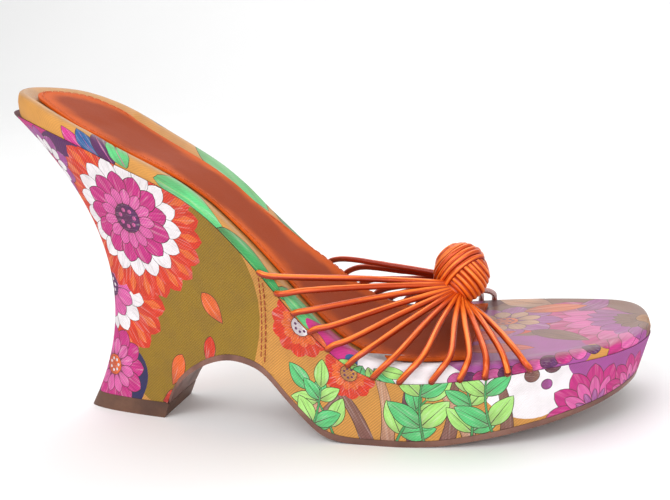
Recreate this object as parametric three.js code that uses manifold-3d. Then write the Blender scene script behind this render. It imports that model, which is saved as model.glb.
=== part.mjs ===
// Wedge mule for the right foot: a cloth-covered wedge and platform, a wrapped footbed and a
// fan of leather cords that meet in one knot. Millimetres. +X runs from heel to toe, +Y towards
// the inner side of the foot and +Z up from the floor.
import * as THREE from 'three';
import { mergeVertices } from 'three/addons/utils/BufferGeometryUtils.js';
import Module from 'manifold-3d';

const wasm = await Module();
wasm.setup();

// Driving dimensions
const footbedLength = 219.7;
const ballWidth = 83.3;
const heelRimHeight = 121.1;
const forefootHeight = 28.7;
const edgeHeight = 8.7;
const rimWidth = 6.5;
const rimRise = 3.2;
const seamGroove = 1.6;
const toeTipOffset = 10.6;
const sockThickness = 1;
const outsoleThickness = 2;
const topPieceThickness = 5.5;
const baseSetback = 12.4;
const baseLength = 35.4;
const baseWidth = 27.3;
const throatSetback = 26;
const throatWidth = 27.6;
const archHeight = 25.7;
const heelLip = 3;
const toeSpring = 10.8;
const toeUndercut = 4.8;
const cordDiameter = 2.4;
const knotWidth = 20.5;
const knotDepth = 18.5;
const knotHeight = 22.5;
const knotDrop = 8.3;
const clearance = 0.3;

// Footbed sections. at: share of the length. outer, inner: half-breadth as a share of the ball
// width. height: share of the rise from forefoot to heel rim. edge: share of the edge height.
// bed: how deep the sock lining's bed lies below the rim, as a share of the rim's rise.
const footbedSections = [
  { at: 0, outer: 0.351, inner: 0.349, height: 1, edge: 1, bed: 1 },
  { at: 0.05, outer: 0.351, inner: 0.349, height: 0.969, edge: 0.9, bed: 1 },
  { at: 0.1, outer: 0.351, inner: 0.349, height: 0.918, edge: 0.8, bed: 0.95 },
  { at: 0.15, outer: 0.352, inner: 0.347, height: 0.855, edge: 0.72, bed: 0.9 },
  { at: 0.2, outer: 0.369, inner: 0.315, height: 0.789, edge: 0.65, bed: 0.8 },
  { at: 0.3, outer: 0.389, inner: 0.217, height: 0.66, edge: 0.575, bed: 0.6 },
  { at: 0.35, outer: 0.393, inner: 0.178, height: 0.57, edge: 0.562, bed: 0.5 },
  { at: 0.4, outer: 0.4, inner: 0.16, height: 0.446, edge: 0.573, bed: 0.45 },
  { at: 0.45, outer: 0.416, inner: 0.19, height: 0.306, edge: 0.6, bed: 0.4 },
  { at: 0.5, outer: 0.44, inner: 0.258, height: 0.172, edge: 0.64, bed: 0.4 },
  { at: 0.55, outer: 0.463, inner: 0.33, height: 0.067, edge: 0.68, bed: 0.4 },
  { at: 0.6, outer: 0.485, inner: 0.406, height: 0.013, edge: 0.71, bed: 0.4 },
  { at: 0.65, outer: 0.501, inner: 0.469, height: 0, edge: 0.72, bed: 0.4 },
  { at: 0.75, outer: 0.501, inner: 0.5, height: 0.005, edge: 0.61, bed: 0.35 },
  { at: 0.85, outer: 0.501, inner: 0.5, height: 0.009, edge: 0.44, bed: 0.2 },
  { at: 1, outer: 0.501, inner: 0.5, height: 0, edge: 0.41, bed: 0.2 },
];

// Rows of the footbed's edge from the seam up. groove: inset as a share of the seam groove.
// level: share of the edge height.
const edgeRows = [
  { groove: 1, level: 0 },
  { groove: 0.15, level: 0.3 },
  { groove: 0, level: 0.6 },
];

// The rounding from the edge to the top of the rim, in millimetres.
const rimRound = { inset: 0.9, drop: 0.27, crest: 2.7 };

// Where the outline turns into its round ends, and how full each end is.
const heelRound = { until: 0.15, sharp: 2, full: 0.5 };
const outerToeRound = { from: 0.72, sharp: 2, full: 0.61 };
const innerToeRound = { from: 0.87, sharp: 5, full: 0.3 };

// The wedge's lower edge from the heel's breast to the toe. at: share of the length. arch,
// spring: its height, as shares of the arch height and of the toe spring. outerIn, innerIn: how
// far it lies inside the footbed's edge; outerDip, innerDip: how far the wall is drawn in half
// way down, all as shares of the ball width.
const lowerSections = [
  { at: 0.228, arch: 0, spring: 0, outerIn: 0.195, innerIn: 0.14, outerDip: 0.104, innerDip: 0.06 },
  { at: 0.246, arch: 0.31, spring: 0, outerIn: 0.183, innerIn: 0.122, outerDip: 0.094, innerDip: 0.052 },
  { at: 0.271, arch: 0.584, spring: 0, outerIn: 0.161, innerIn: 0.089, outerDip: 0.084, innerDip: 0.043 },
  { at: 0.308, arch: 0.805, spring: 0, outerIn: 0.138, innerIn: 0.056, outerDip: 0.067, innerDip: 0.029 },
  { at: 0.346, arch: 0.95, spring: 0, outerIn: 0.095, innerIn: 0.035, outerDip: 0.055, innerDip: 0.017 },
  { at: 0.38, arch: 1, spring: 0, outerIn: 0.062, innerIn: 0.024, outerDip: 0.048, innerDip: 0.012 },
  { at: 0.42, arch: 0.938, spring: 0, outerIn: 0.034, innerIn: 0.023, outerDip: 0.041, innerDip: 0.012 },
  { at: 0.443, arch: 0.809, spring: 0, outerIn: 0.023, innerIn: 0.022, outerDip: 0.037, innerDip: 0.014 },
  { at: 0.465, arch: 0.603, spring: 0, outerIn: 0.018, innerIn: 0.022, outerDip: 0.034, innerDip: 0.017 },
  { at: 0.49, arch: 0.374, spring: 0, outerIn: 0.019, innerIn: 0.022, outerDip: 0.029, innerDip: 0.018 },
  { at: 0.521, arch: 0.125, spring: 0, outerIn: 0.023, innerIn: 0.023, outerDip: 0.024, innerDip: 0.018 },
  { at: 0.549, arch: 0.035, spring: 0, outerIn: 0.026, innerIn: 0.026, outerDip: 0.02, innerDip: 0.018 },
  { at: 0.586, arch: 0, spring: 0, outerIn: 0.036, innerIn: 0.034, outerDip: 0.017, innerDip: 0.016 },
  { at: 0.66, arch: 0, spring: 0, outerIn: 0.04, innerIn: 0.039, outerDip: 0.014, innerDip: 0.013 },
  { at: 0.702, arch: 0, spring: 0.045, outerIn: 0.042, innerIn: 0.042, outerDip: 0.012, innerDip: 0.012 },
  { at: 0.739, arch: 0, spring: 0.15, outerIn: 0.042, innerIn: 0.042, outerDip: 0.012, innerDip: 0.012 },
  { at: 0.79, arch: 0, spring: 0.31, outerIn: 0.042, innerIn: 0.042, outerDip: 0.012, innerDip: 0.012 },
  { at: 0.828, arch: 0, spring: 0.43, outerIn: 0.042, innerIn: 0.042, outerDip: 0.012, innerDip: 0.012 },
  { at: 0.883, arch: 0, spring: 0.59, outerIn: 0.042, innerIn: 0.042, outerDip: 0.012, innerDip: 0.012 },
  { at: 0.948, arch: 0, spring: 0.795, outerIn: 0.042, innerIn: 0.042, outerDip: -0.005, innerDip: -0.005 },
  { at: 1, arch: 0, spring: 1, outerIn: 0.042, innerIn: 0.042, outerDip: -0.012, innerDip: -0.012 },
];
const breastAt = lowerSections[0].at;
const archTopAt = 0.38;
const forefootAt = 0.6;
const sockEndAt = 0.735;
const heelLipEnd = 0.04;
const heelLipRise = 0.4;
const heelLipFall = 1.5;

// The heel's base and throat are rounded to the rear; each side's share of their widths.
const baseShare = { outer: 0.55, inner: 0.45 };
const throatShare = { outer: 0.525, inner: 0.475 };
const baseRounding = 0.62;
const throatRounding = 0.42;

// One row for each cord of a side, rear to front. outer, inner: where it leaves the seam, as a
// share of the length. outerLead, innerLead: how far it runs forward up to the rim, likewise.
// lift: how far it clears the rim there, as a share of the edge height.
// bow: how far it arches over the straight way to the knot, as a share of the knot's height.
const cords = [
  { outer: 0.427, inner: 0.475, outerLead: 0.03, innerLead: 0.007, lift: 0.1, bow: 0.02 },
  { outer: 0.453, inner: 0.498, outerLead: 0.026, innerLead: 0.007, lift: 0.27, bow: 0.02 },
  { outer: 0.478, inner: 0.521, outerLead: 0.024, innerLead: 0.007, lift: 0.13, bow: 0.02 },
  { outer: 0.503, inner: 0.544, outerLead: 0.024, innerLead: 0.008, lift: 0.07, bow: 0.02 },
  { outer: 0.529, inner: 0.567, outerLead: 0.026, innerLead: 0.008, lift: 0.05, bow: 0.02 },
  { outer: 0.56, inner: 0.589, outerLead: 0.028, innerLead: 0.009, lift: 0.13, bow: 0.02 },
  { outer: 0.599, inner: 0.611, outerLead: 0.031, innerLead: 0.009, lift: 0.06, bow: 0.03 },
  { outer: 0.639, inner: 0.632, outerLead: 0.031, innerLead: 0.009, lift: 0.03, bow: 0.04 },
  { outer: 0.686, inner: 0.653, outerLead: 0.025, innerLead: 0.008, lift: 0.02, bow: 0.05 },
  { outer: 0.727, inner: 0.675, outerLead: 0.013, innerLead: 0.006, lift: 0.02, bow: 0.06 },
  { outer: 0.762, inner: 0.697, outerLead: 0.003, innerLead: 0.004, lift: 0.02, bow: 0.07 },
  { outer: 0.793, inner: 0.721, outerLead: -0.004, innerLead: 0.002, lift: 0.02, bow: 0.07 },
  { outer: 0.823, inner: 0.745, outerLead: -0.012, innerLead: 0, lift: 0.02, bow: 0.07 },
];

// A cord's start in the seam, its play beside the edge and its crest over the rim, in
// millimetres, and the share of its way to the knot at which it bows most.
const cordStart = { out: 1.6, lift: 1.5, play: 0.55 };
const cordCrest = { out: -0.7, lift: 0.3 };
const cordBowAt = 0.5;

// The knot's place along the length, the mouths where the rear and the front cords run into it
// (shares of its size from its middle, for the outer side) and its four bundles of strands.
// axis: the way the strands run. face: the side of the knot that the first strand crosses.
// turn: the first strand's angle about the axis, in degrees. lift: layer, in cord diameters.
const knotAt = 0.715;
const rearMouth = [-0.2, -0.3, -0.08];
const frontMouth = [0.05, -0.28, -0.38];
const bundles = [
  { strands: 6, axis: [0.79, 0.2, 0.58], face: [0.12, -0.97, 0.22], turn: -23, lift: 0 },
  { strands: 7, axis: [0.36, -0.16, -0.92], face: [0.12, -0.97, 0.22], turn: 10, lift: -0.4 },
  { strands: 6, axis: [-0.79, -0.2, 0.58], face: [-0.12, 0.97, 0.22], turn: -23, lift: -0.3 },
  { strands: 7, axis: [-0.36, 0.16, -0.92], face: [-0.12, 0.97, 0.22], turn: 10, lift: -0.7 },
];
const strandEnd = 20;
const strandPacking = 0.95;

// The gap under the sock lining, in clearances, and how deep the knot's core lies below its
// surface, in cord diameters.
const sockGap = 1.5;
const coreDepth = 0.75;

// How finely the forms are faceted. frontCrowding: how much closer the sections lie at the toe.
const heelSteps = 9;
const archSteps = 15;
const frontSteps = 13;
const frontCrowding = 1.7;
const wallLevels = [1, 0.88, 0.74, 0.6, 0.46, 0.32, 0.19, 0.08, 0];
const cordSides = 6;
const cordSteps = 10;
const strandSteps = 6;

const OUTER = -1;
const INNER = 1;
const cordRadius = cordDiameter / 2;
const baseFront = baseSetback + baseLength;
const knotRadii = new THREE.Vector3(knotWidth, knotDepth, knotHeight).multiplyScalar(0.5);

const { lerp, clamp, degToRad } = THREE.MathUtils;

// Smooth reading of one column of a table at a share of the length.
function read(rows, column, at) {
  const above = rows.findIndex((row) => row.at > at);
  const i = above < 0 ? rows.length - 2 : above - 1;
  const slope = (k) => {
    const a = rows[Math.max(k - 1, 0)];
    const b = rows[Math.min(k + 1, rows.length - 1)];
    return (b[column] - a[column]) / (b.at - a.at);
  };
  const width = rows[i + 1].at - rows[i].at;
  const t = (at - rows[i].at) / width;
  const rise = t * t * (3 - 2 * t);
  const bend = t * (1 - t) * width * ((1 - t) * slope(i) - t * slope(i + 1));
  return lerp(rows[i][column], rows[i + 1][column], rise) + bend;
}

const columnOf = (side, name) => (side === OUTER ? 'outer' : 'inner') + name;
const shareOf = (side, shares) => (side === OUTER ? shares.outer : shares.inner);

// Share of the half-breadth that is left towards a round end; u is 1 at the tip.
function roundEnd(u, end) {
  return Math.pow(1 - Math.pow(clamp(u, 0, 1), end.sharp), end.full);
}

function toeFade(at, side) {
  const end = side === OUTER ? outerToeRound : innerToeRound;
  return roundEnd((at - end.from) / (1 - end.from), end);
}

// Edge of the footbed on one side, seen from above.
function edgeY(at, side) {
  const half = ballWidth * read(footbedSections, side === OUTER ? 'outer' : 'inner', at);
  const heel = roundEnd(1 - at / heelRound.until, heelRound);
  return lerp(toeTipOffset, side * half * heel, toeFade(at, side));
}

const footbedTop = (at) =>
  forefootHeight + (heelRimHeight - forefootHeight) * read(footbedSections, 'height', at);
const footbedEdge = (at) => edgeHeight * read(footbedSections, 'edge', at);
const footbedBed = (at) => footbedTop(at) - rimRise * read(footbedSections, 'bed', at);
const seamHeight = (at) => footbedTop(at) - footbedEdge(at);

// Outward direction of the footbed's edge in plan.
function outward(at, side) {
  const step = 0.002;
  const a = Math.max(at - step, 0);
  const b = Math.min(at + step, 1);
  if (a === 0) return new THREE.Vector2(-1, side * at / step).normalize();
  if (b === 1) return new THREE.Vector2(1, side * (1 - at) / step).normalize();
  const run = (b - a) * footbedLength;
  return new THREE.Vector2(-(edgeY(b, side) - edgeY(a, side)), run).normalize().multiplyScalar(side);
}

// Direction square to the footbed's top along its length.
function footbedNormal(at) {
  const step = 0.01;
  const fall = footbedTop(at + step) - footbedTop(at - step);
  return new THREE.Vector3(-fall, 0, 2 * step * footbedLength).normalize();
}

// Upright gap that leaves the clearance square to the sloping footbed.
const slopedGap = (at) => clearance / footbedNormal(clamp(at, 0.01, 0.99)).z;

// Point over the footbed's edge, moved inwards by the inset, at a height.
function rimPoint(at, side, inset, z) {
  const out = outward(at, side);
  return new THREE.Vector3(at * footbedLength - out.x * inset, edgeY(at, side) - out.y * inset, z);
}

// Lower edge of the wall: the heel's base, the arch, the forefoot and the toe.
function lowerHeight(at) {
  if (at <= breastAt) return 0;
  const arch = archHeight * read(lowerSections, 'arch', at);
  return Math.max(0, arch + toeSpring * read(lowerSections, 'spring', at));
}

function lowerPoint(at, side) {
  const cornerY = side * baseWidth * shareOf(side, baseShare);
  if (at <= breastAt) {
    const u = at / breastAt;
    return new THREE.Vector3(lerp(baseSetback, baseFront, u), cornerY * Math.pow(u, baseRounding), 0);
  }
  const freeY = (share) => {
    const inset = ballWidth * read(lowerSections, columnOf(side, 'In'), share);
    return edgeY(share, side) - side * inset * toeFade(share, side);
  };
  const fade = clamp((archTopAt - at) / (archTopAt - breastAt), 0, 1);
  const y = freeY(at) + (cornerY - freeY(breastAt)) * fade;
  const x = lerp(baseFront, footbedLength - toeUndercut, (at - breastAt) / (1 - breastAt));
  return new THREE.Vector3(x, y, lowerHeight(at));
}

// Upper edge of the wall, under the footbed, drawn out into a lip at the very rear.
function upperPoint(at, side) {
  const lip = heelLip * Math.pow(clamp(1 - at / heelLipEnd, 0, 1), heelLipFall);
  return rimPoint(at, side, -lip, seamHeight(at) - slopedGap(at) + lip * heelLipRise);
}

// Point of the wall half way down, drawn in to the heel's throat at the rear.
function throatPoint(at, side, upper, lower) {
  const middle = upper.clone().add(lower).multiplyScalar(0.5);
  const hollow = (share) => side * ballWidth * read(lowerSections, columnOf(side, 'Dip'), share);
  const cornerY = side * throatWidth * shareOf(side, throatShare);
  if (at <= breastAt) {
    const u = at / breastAt;
    const front = (upperPoint(breastAt, side).x + baseFront) / 2;
    middle.x = lerp(throatSetback, front, u);
    middle.y = cornerY * Math.pow(u, throatRounding);
    return middle;
  }
  const freeY = (upperPoint(breastAt, side).y + lowerPoint(breastAt, side).y) / 2 - hollow(breastAt);
  const fade = clamp((archTopAt - at) / (archTopAt - breastAt), 0, 1);
  middle.y += (cornerY - freeY) * fade - hollow(at) * toeFade(at, side);
  return middle;
}

// The wedge's outer wall at a share of the length and a height.
function wallPoint(at, side, z) {
  const upper = upperPoint(at, side);
  const lower = lowerPoint(at, side);
  const throat = throatPoint(at, side, upper, lower);
  const v = (upper.z - z) / (upper.z - lower.z);
  const pull = 4 * v * (1 - v);
  const mean = upper.clone().add(lower).multiplyScalar(0.5);
  const point = upper.lerp(lower, v).add(throat.sub(mean).multiplyScalar(pull));
  point.z = z;
  return point;
}

// Shares of the length at which the forms are cut into sections.
function columns() {
  const heel = Array.from({ length: heelSteps }, (_, k) =>
    breastAt * (1 - Math.cos(Math.PI / 2 * k / heelSteps)));
  const arch = Array.from({ length: archSteps }, (_, k) => lerp(breastAt, forefootAt, k / archSteps));
  const front = Array.from({ length: frontSteps + 1 }, (_, k) =>
    lerp(1, forefootAt, Math.pow(1 - k / frontSteps, frontCrowding)));
  return [...heel, ...arch, ...front];
}

// Share of the length, on the heel's breast, where the lower edge reaches a height.
function breastShare(height) {
  let low = breastAt;
  let high = archTopAt;
  for (let i = 0; i < 30; i += 1) {
    const middle = (low + high) / 2;
    if (lowerHeight(middle) < height) low = middle;
    else high = middle;
  }
  return low;
}

// Closed loop of one row: outer side rear to front, then inner side front to rear.
function loop(shares, pointAt) {
  const outer = shares.map((at) => pointAt(at, OUTER));
  const inner = shares.map((at) => pointAt(at, INNER));
  return [...outer, ...inner.reverse()];
}

// Closed solid from loops listed from the bottom up; straight strips cross its bottom and top.
function shell(loops) {
  const count = loops[0].length;
  const triangles = [];
  const quad = (a, b, c, d) => triangles.push(a, b, c, a, c, d);
  for (let row = 0; row + 1 < loops.length; row += 1) {
    for (let i = 0; i < count; i += 1) {
      const next = (i + 1) % count;
      quad(loops[row][i], loops[row][next], loops[row + 1][next], loops[row + 1][i]);
    }
  }
  const bottom = loops[0];
  const top = loops[loops.length - 1];
  for (let i = 0; i + 1 < count / 2; i += 1) {
    const partner = count - 1 - i;
    quad(top[i], top[i + 1], top[partner - 1], top[partner]);
    quad(bottom[i], bottom[partner], bottom[partner - 1], bottom[i + 1]);
  }
  return closed(new THREE.BufferGeometry().setFromPoints(triangles));
}

// Joins shared corners and drops the triangles that this leaves without an area.
function closed(geometry) {
  geometry.deleteAttribute('normal');
  geometry.deleteAttribute('uv');
  const merged = mergeVertices(geometry, 1e-3);
  const index = merged.index.array;
  const kept = [];
  for (let i = 0; i < index.length; i += 3) {
    const [a, b, c] = [index[i], index[i + 1], index[i + 2]];
    if (a !== b && b !== c && c !== a) kept.push(a, b, c);
  }
  merged.setIndex(kept);
  return merged;
}

function makeWedge() {
  const pieceTop = topPieceThickness + clearance;
  const underside = (at) => {
    if (at <= breastAt) return pieceTop;
    const onSole = lowerHeight(at) + outsoleThickness + 2 * clearance;
    return at < archTopAt ? Math.max(pieceTop, onSole) : onSole;
  };
  const rows = wallLevels.map((level) => loop(columns(), (at, side) =>
    wallPoint(at, side, lerp(upperPoint(at, side).z, underside(at), level))));
  const seat = loop(columns(), (at, side) => rimPoint(at, side, seamGroove, seamHeight(at) - slopedGap(at)));
  return shell([...rows, seat]);
}

function makeFootbed() {
  const row = (inset, height) => loop(columns(), (at, side) => rimPoint(at, side, inset, height(at)));
  return shell([
    ...edgeRows.map(({ groove, level }) =>
      row(groove * seamGroove, (at) => seamHeight(at) + level * footbedEdge(at))),
    row(rimRound.inset, (at) => footbedTop(at) - rimRound.drop),
    row(rimRound.crest, footbedTop),
    row(rimWidth, footbedBed),
  ]);
}

function makeSockLining() {
  const shares = [...columns().filter((at) => at < sockEndAt), sockEndAt];
  const row = (lift) => loop(shares, (at, side) =>
    rimPoint(at, side, rimWidth + 2 * clearance, footbedBed(at) + sockGap * slopedGap(at) + lift));
  return shell([row(0), row(sockThickness)]);
}

function makeOutsole() {
  const start = breastShare(topPieceThickness + clearance);
  const shares = [start, ...columns().filter((at) => at > start)];
  const row = (lift) => loop(shares, (at, side) => wallPoint(at, side, lowerHeight(at) + lift));
  return shell([row(0), row(outsoleThickness)]);
}

// The front of the top piece slopes with the heel's breast.
function makeTopPiece() {
  const heelShares = [...columns().filter((at) => at < breastAt), breastAt];
  const reach = breastShare(topPieceThickness) / breastAt;
  const row = (height, stretch) => loop(heelShares, (at, side) => wallPoint(at * stretch, side, height));
  return shell([row(0, 1), row(topPieceThickness, reach)]);
}

// Round cord along a smooth way through the given points.
function cordAlong(points, steps) {
  const section = new THREE.Shape();
  for (let k = 0; k < cordSides; k += 1) {
    const angle = 2 * Math.PI * k / cordSides;
    const x = cordRadius * Math.cos(angle);
    const y = cordRadius * Math.sin(angle);
    if (k === 0) section.moveTo(x, y);
    else section.lineTo(x, y);
  }
  section.closePath();
  const way = new THREE.CatmullRomCurve3(points, false, 'centripetal');
  return new THREE.ExtrudeGeometry(section, { steps, extrudePath: way, bevelEnabled: false });
}

function knotCentre() {
  const z = footbedTop(knotAt) + knotDrop + knotRadii.z;
  return new THREE.Vector3(knotAt * footbedLength, 0, z);
}

// A cord leaves the seam, stands up along the footbed's edge, turns over the rim and runs to
// the knot.
function cordWay(index, side) {
  const cord = cords[index];
  const at = shareOf(side, cord);
  const gap = cordRadius + clearance;
  const beside = (share, out, level, lift) => {
    const rise = footbedNormal(share).multiplyScalar(lift);
    const z = lerp(seamHeight(share), footbedTop(share), level) + rise.z;
    return rimPoint(share + rise.x / footbedLength, side, -out, z);
  };
  const over = at + (side === OUTER ? cord.outerLead : cord.innerLead);
  const turn = (at + over) / 2;
  const start = beside(at, cordStart.out, 0, cordStart.lift);
  const edge = beside(turn, gap + cordStart.play, 1, 0);
  const crest = beside(over, cordCrest.out, 1, gap + cordCrest.lift + cord.lift * edgeHeight);
  const share = index / (cords.length - 1);
  const mouth = new THREE.Vector3(
    lerp(rearMouth[0], frontMouth[0], share) * knotWidth,
    lerp(rearMouth[1], frontMouth[1], share) * knotDepth * -side,
    lerp(rearMouth[2], frontMouth[2], share) * knotHeight,
  ).add(knotCentre());
  const bow = crest.clone().lerp(mouth, cordBowAt);
  bow.z += cord.bow * knotHeight;
  return [start, edge, crest, bow, mouth];
}

// Strands of one bundle lie side by side over the knot, from pole to pole of its axis.
function bundleStrands(bundle) {
  const axis = new THREE.Vector3(...bundle.axis).normalize();
  const face = new THREE.Vector3(...bundle.face).projectOnPlane(axis).normalize();
  const radii = knotRadii.clone().subScalar(cordRadius - bundle.lift * cordDiameter);
  const pitch = strandPacking * cordDiameter / (knotRadii.z - cordRadius);
  return Array.from({ length: bundle.strands }, (_, k) => {
    const across = face.clone().applyAxisAngle(axis, degToRad(bundle.turn) - k * pitch);
    const points = Array.from({ length: strandSteps + 1 }, (_, n) => {
      const angle = degToRad(lerp(strandEnd, 180 - strandEnd, n / strandSteps));
      const point = axis.clone().multiplyScalar(-Math.cos(angle));
      return point.addScaledVector(across, Math.sin(angle)).multiply(radii).add(knotCentre());
    });
    return cordAlong(points, strandSteps);
  });
}

function solidOf(geometry) {
  const joined = closed(geometry);
  const vertProperties = new Float32Array(joined.attributes.position.array);
  const triVerts = new Uint32Array(joined.index.array);
  return new wasm.Manifold(new wasm.Mesh({ numProp: 3, vertProperties, triVerts }));
}

function geometryOf(solid) {
  const mesh = solid.getMesh();
  const geometry = new THREE.BufferGeometry();
  geometry.setAttribute('position', new THREE.BufferAttribute(mesh.vertProperties, 3));
  geometry.setIndex(new THREE.BufferAttribute(mesh.triVerts, 1));
  return geometry;
}

// All cords and the knot as one solid, with the small hollows between strands filled.
function makeUpper() {
  const core = new THREE.SphereGeometry(1, 12, 8);
  const coreRadii = knotRadii.clone().subScalar(coreDepth * cordDiameter);
  core.scale(coreRadii.x, coreRadii.y, coreRadii.z);
  core.translate(...knotCentre().toArray());
  const sides = [OUTER, INNER].flatMap((side) =>
    cords.map((_, index) => cordAlong(cordWay(index, side), cordSteps)));
  const pieces = [...sides, ...bundles.flatMap(bundleStrands)];
  const joined = pieces.reduce((sum, piece) => sum.add(solidOf(piece)), solidOf(core));
  return geometryOf(joined.decompose().reduce((a, b) => (a.volume() > b.volume() ? a : b)));
}

const shoe = new THREE.Group();

function place(name, geometry, color, roughness, metalness = 0) {
  geometry.computeVertexNormals();
  const material = new THREE.MeshStandardMaterial({ color, roughness, metalness });
  const mesh = new THREE.Mesh(geometry, material);
  mesh.name = name;
  shoe.add(mesh);
}

place('wedge', makeWedge(), 0xb8862c, 0.75);
place('footbed', makeFootbed(), 0xc08a38, 0.6);
place('sock_lining', makeSockLining(), 0x9c4426, 0.5);
place('outsole', makeOutsole(), 0x6b4638, 0.6);
place('heel_top_piece', makeTopPiece(), 0x7a5442, 0.65);
place('upper', makeUpper(), 0xd8581a, 0.35, 0.2);

// The shoe stands over the origin.
const box = new THREE.Box3().setFromObject(shoe);
shoe.position.set(-(box.min.x + box.max.x) / 2, -(box.min.y + box.max.y) / 2, -box.min.z);

export default new THREE.Group().add(shoe);
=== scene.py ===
import math
from bisect import bisect_right

import bmesh
import bpy
from bpy.props import FloatProperty, FloatVectorProperty, PointerProperty
from mathutils import Matrix, Vector, noise
from mathutils.geometry import delaunay_2d_cdt
from mathutils.kdtree import KDTree


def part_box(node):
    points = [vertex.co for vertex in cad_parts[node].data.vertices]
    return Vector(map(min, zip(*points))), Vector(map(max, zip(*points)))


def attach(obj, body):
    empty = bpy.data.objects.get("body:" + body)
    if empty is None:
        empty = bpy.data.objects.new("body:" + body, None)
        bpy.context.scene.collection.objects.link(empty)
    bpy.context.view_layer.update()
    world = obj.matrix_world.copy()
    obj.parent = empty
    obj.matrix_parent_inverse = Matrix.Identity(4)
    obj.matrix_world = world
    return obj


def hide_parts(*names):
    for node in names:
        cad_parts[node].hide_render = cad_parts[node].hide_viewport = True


bl_info = {
    "name": "Wedge mule",
    "version": (1, 0, 0),
    "blender": (4, 5, 0),
    "location": "View3D > Sidebar > Mule",
    "description": "Cloth, leather and cord surfaces of a wedge mule around its solid model",
    "category": "Object",
}

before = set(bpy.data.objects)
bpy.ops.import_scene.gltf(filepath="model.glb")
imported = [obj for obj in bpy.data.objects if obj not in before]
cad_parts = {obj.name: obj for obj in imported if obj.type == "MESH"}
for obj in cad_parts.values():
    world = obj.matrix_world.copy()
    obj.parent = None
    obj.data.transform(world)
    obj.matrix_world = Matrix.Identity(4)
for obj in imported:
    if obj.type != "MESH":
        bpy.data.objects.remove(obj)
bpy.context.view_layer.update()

# Lengths are in metres, and MM turns millimetres into them. The forms are worked out with the
# footbed's rear end at zero and are moved to the frame's place at the end.
MM = 0.001
FOOTBED_LOW, FOOTBED_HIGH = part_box("footbed")
LENGTH = FOOTBED_HIGH.x - FOOTBED_LOW.x
HEEL_RIM = FOOTBED_HIGH.z
TOP_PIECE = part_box("heel_top_piece")[1].z
BALL_WIDTH = 83.3 * MM
PLACE = Vector((FOOTBED_LOW.x, FOOTBED_HIGH.y - BALL_WIDTH / 2, 0))
FOREFOOT = 28.7 * MM
EDGE = 8.7 * MM
RIM_WIDTH = 6.5 * MM
RIM_RISE = 3.2 * MM
SEAM_GROOVE = 1.6 * MM
TOE_TIP_Y = 10.6 * MM
SOCK = 1 * MM
OUTSOLE = 2 * MM
BASE_SETBACK = 12.4 * MM
BASE_FRONT = 47.8 * MM
BASE_WIDTH = 27.3 * MM
THROAT_SETBACK = 26 * MM
THROAT_WIDTH = 27.6 * MM
ARCH_HEIGHT = 25.7 * MM
HEEL_LIP = 3 * MM
TOE_SPRING = 10.8 * MM
TOE_UNDERCUT = 4.8 * MM
CLEARANCE = 0.3 * MM
SEAM_GAP = 0.07 * MM
KNOT_SIZE = Vector((20.5, 18.5, 22.5)) * MM
KNOT_DROP = 8.3 * MM

OUTER = -1
INNER = 1


def lerp(a, b, t):
    return a + (b - a) * t


def clamp(value, low, high):
    return min(max(value, low), high)


def smooth_between(knots, values, x):
    """Value at x of a smooth curve through the given points."""
    last = len(knots) - 1
    i = min(max(bisect_right(knots, x) - 1, 0), last - 1)

    def slope(k):
        a, b = max(k - 1, 0), min(k + 1, last)
        return (values[b] - values[a]) / (knots[b] - knots[a])

    width = knots[i + 1] - knots[i]
    t = (x - knots[i]) / width
    bend = t * (1 - t) * width * ((1 - t) * slope(i) - t * slope(i + 1))
    return lerp(values[i], values[i + 1], t * t * (3 - 2 * t)) + bend


class Table:
    """Named columns over the share of the length, read smoothly."""

    def __init__(self, names, *rows):
        self.at = [row[0] for row in rows]
        self.columns = {name: [row[k + 1] for row in rows] for k, name in enumerate(names.split())}

    def __call__(self, name, at):
        return smooth_between(self.at, self.columns[name], at)


# Footbed. outer, inner: half-breadth as a share of the ball width. height: share of the rise
# from forefoot to heel rim. edge: share of the edge height. bed: share of the rim's rise.
FOOTBED = Table(
    "outer inner height edge bed",
    (0, 0.351, 0.349, 1, 1, 1),
    (0.05, 0.351, 0.349, 0.969, 0.9, 1),
    (0.1, 0.351, 0.349, 0.918, 0.8, 0.95),
    (0.15, 0.352, 0.347, 0.855, 0.72, 0.9),
    (0.2, 0.369, 0.315, 0.789, 0.65, 0.8),
    (0.3, 0.389, 0.217, 0.66, 0.575, 0.6),
    (0.35, 0.393, 0.178, 0.57, 0.562, 0.5),
    (0.4, 0.4, 0.16, 0.446, 0.573, 0.45),
    (0.45, 0.416, 0.19, 0.306, 0.6, 0.4),
    (0.5, 0.44, 0.258, 0.172, 0.64, 0.4),
    (0.55, 0.463, 0.33, 0.067, 0.68, 0.4),
    (0.6, 0.485, 0.406, 0.013, 0.71, 0.4),
    (0.65, 0.501, 0.469, 0, 0.72, 0.4),
    (0.75, 0.501, 0.5, 0.005, 0.61, 0.35),
    (0.85, 0.501, 0.5, 0.009, 0.44, 0.2),
    (1, 0.501, 0.5, 0, 0.41, 0.2),
)

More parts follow.
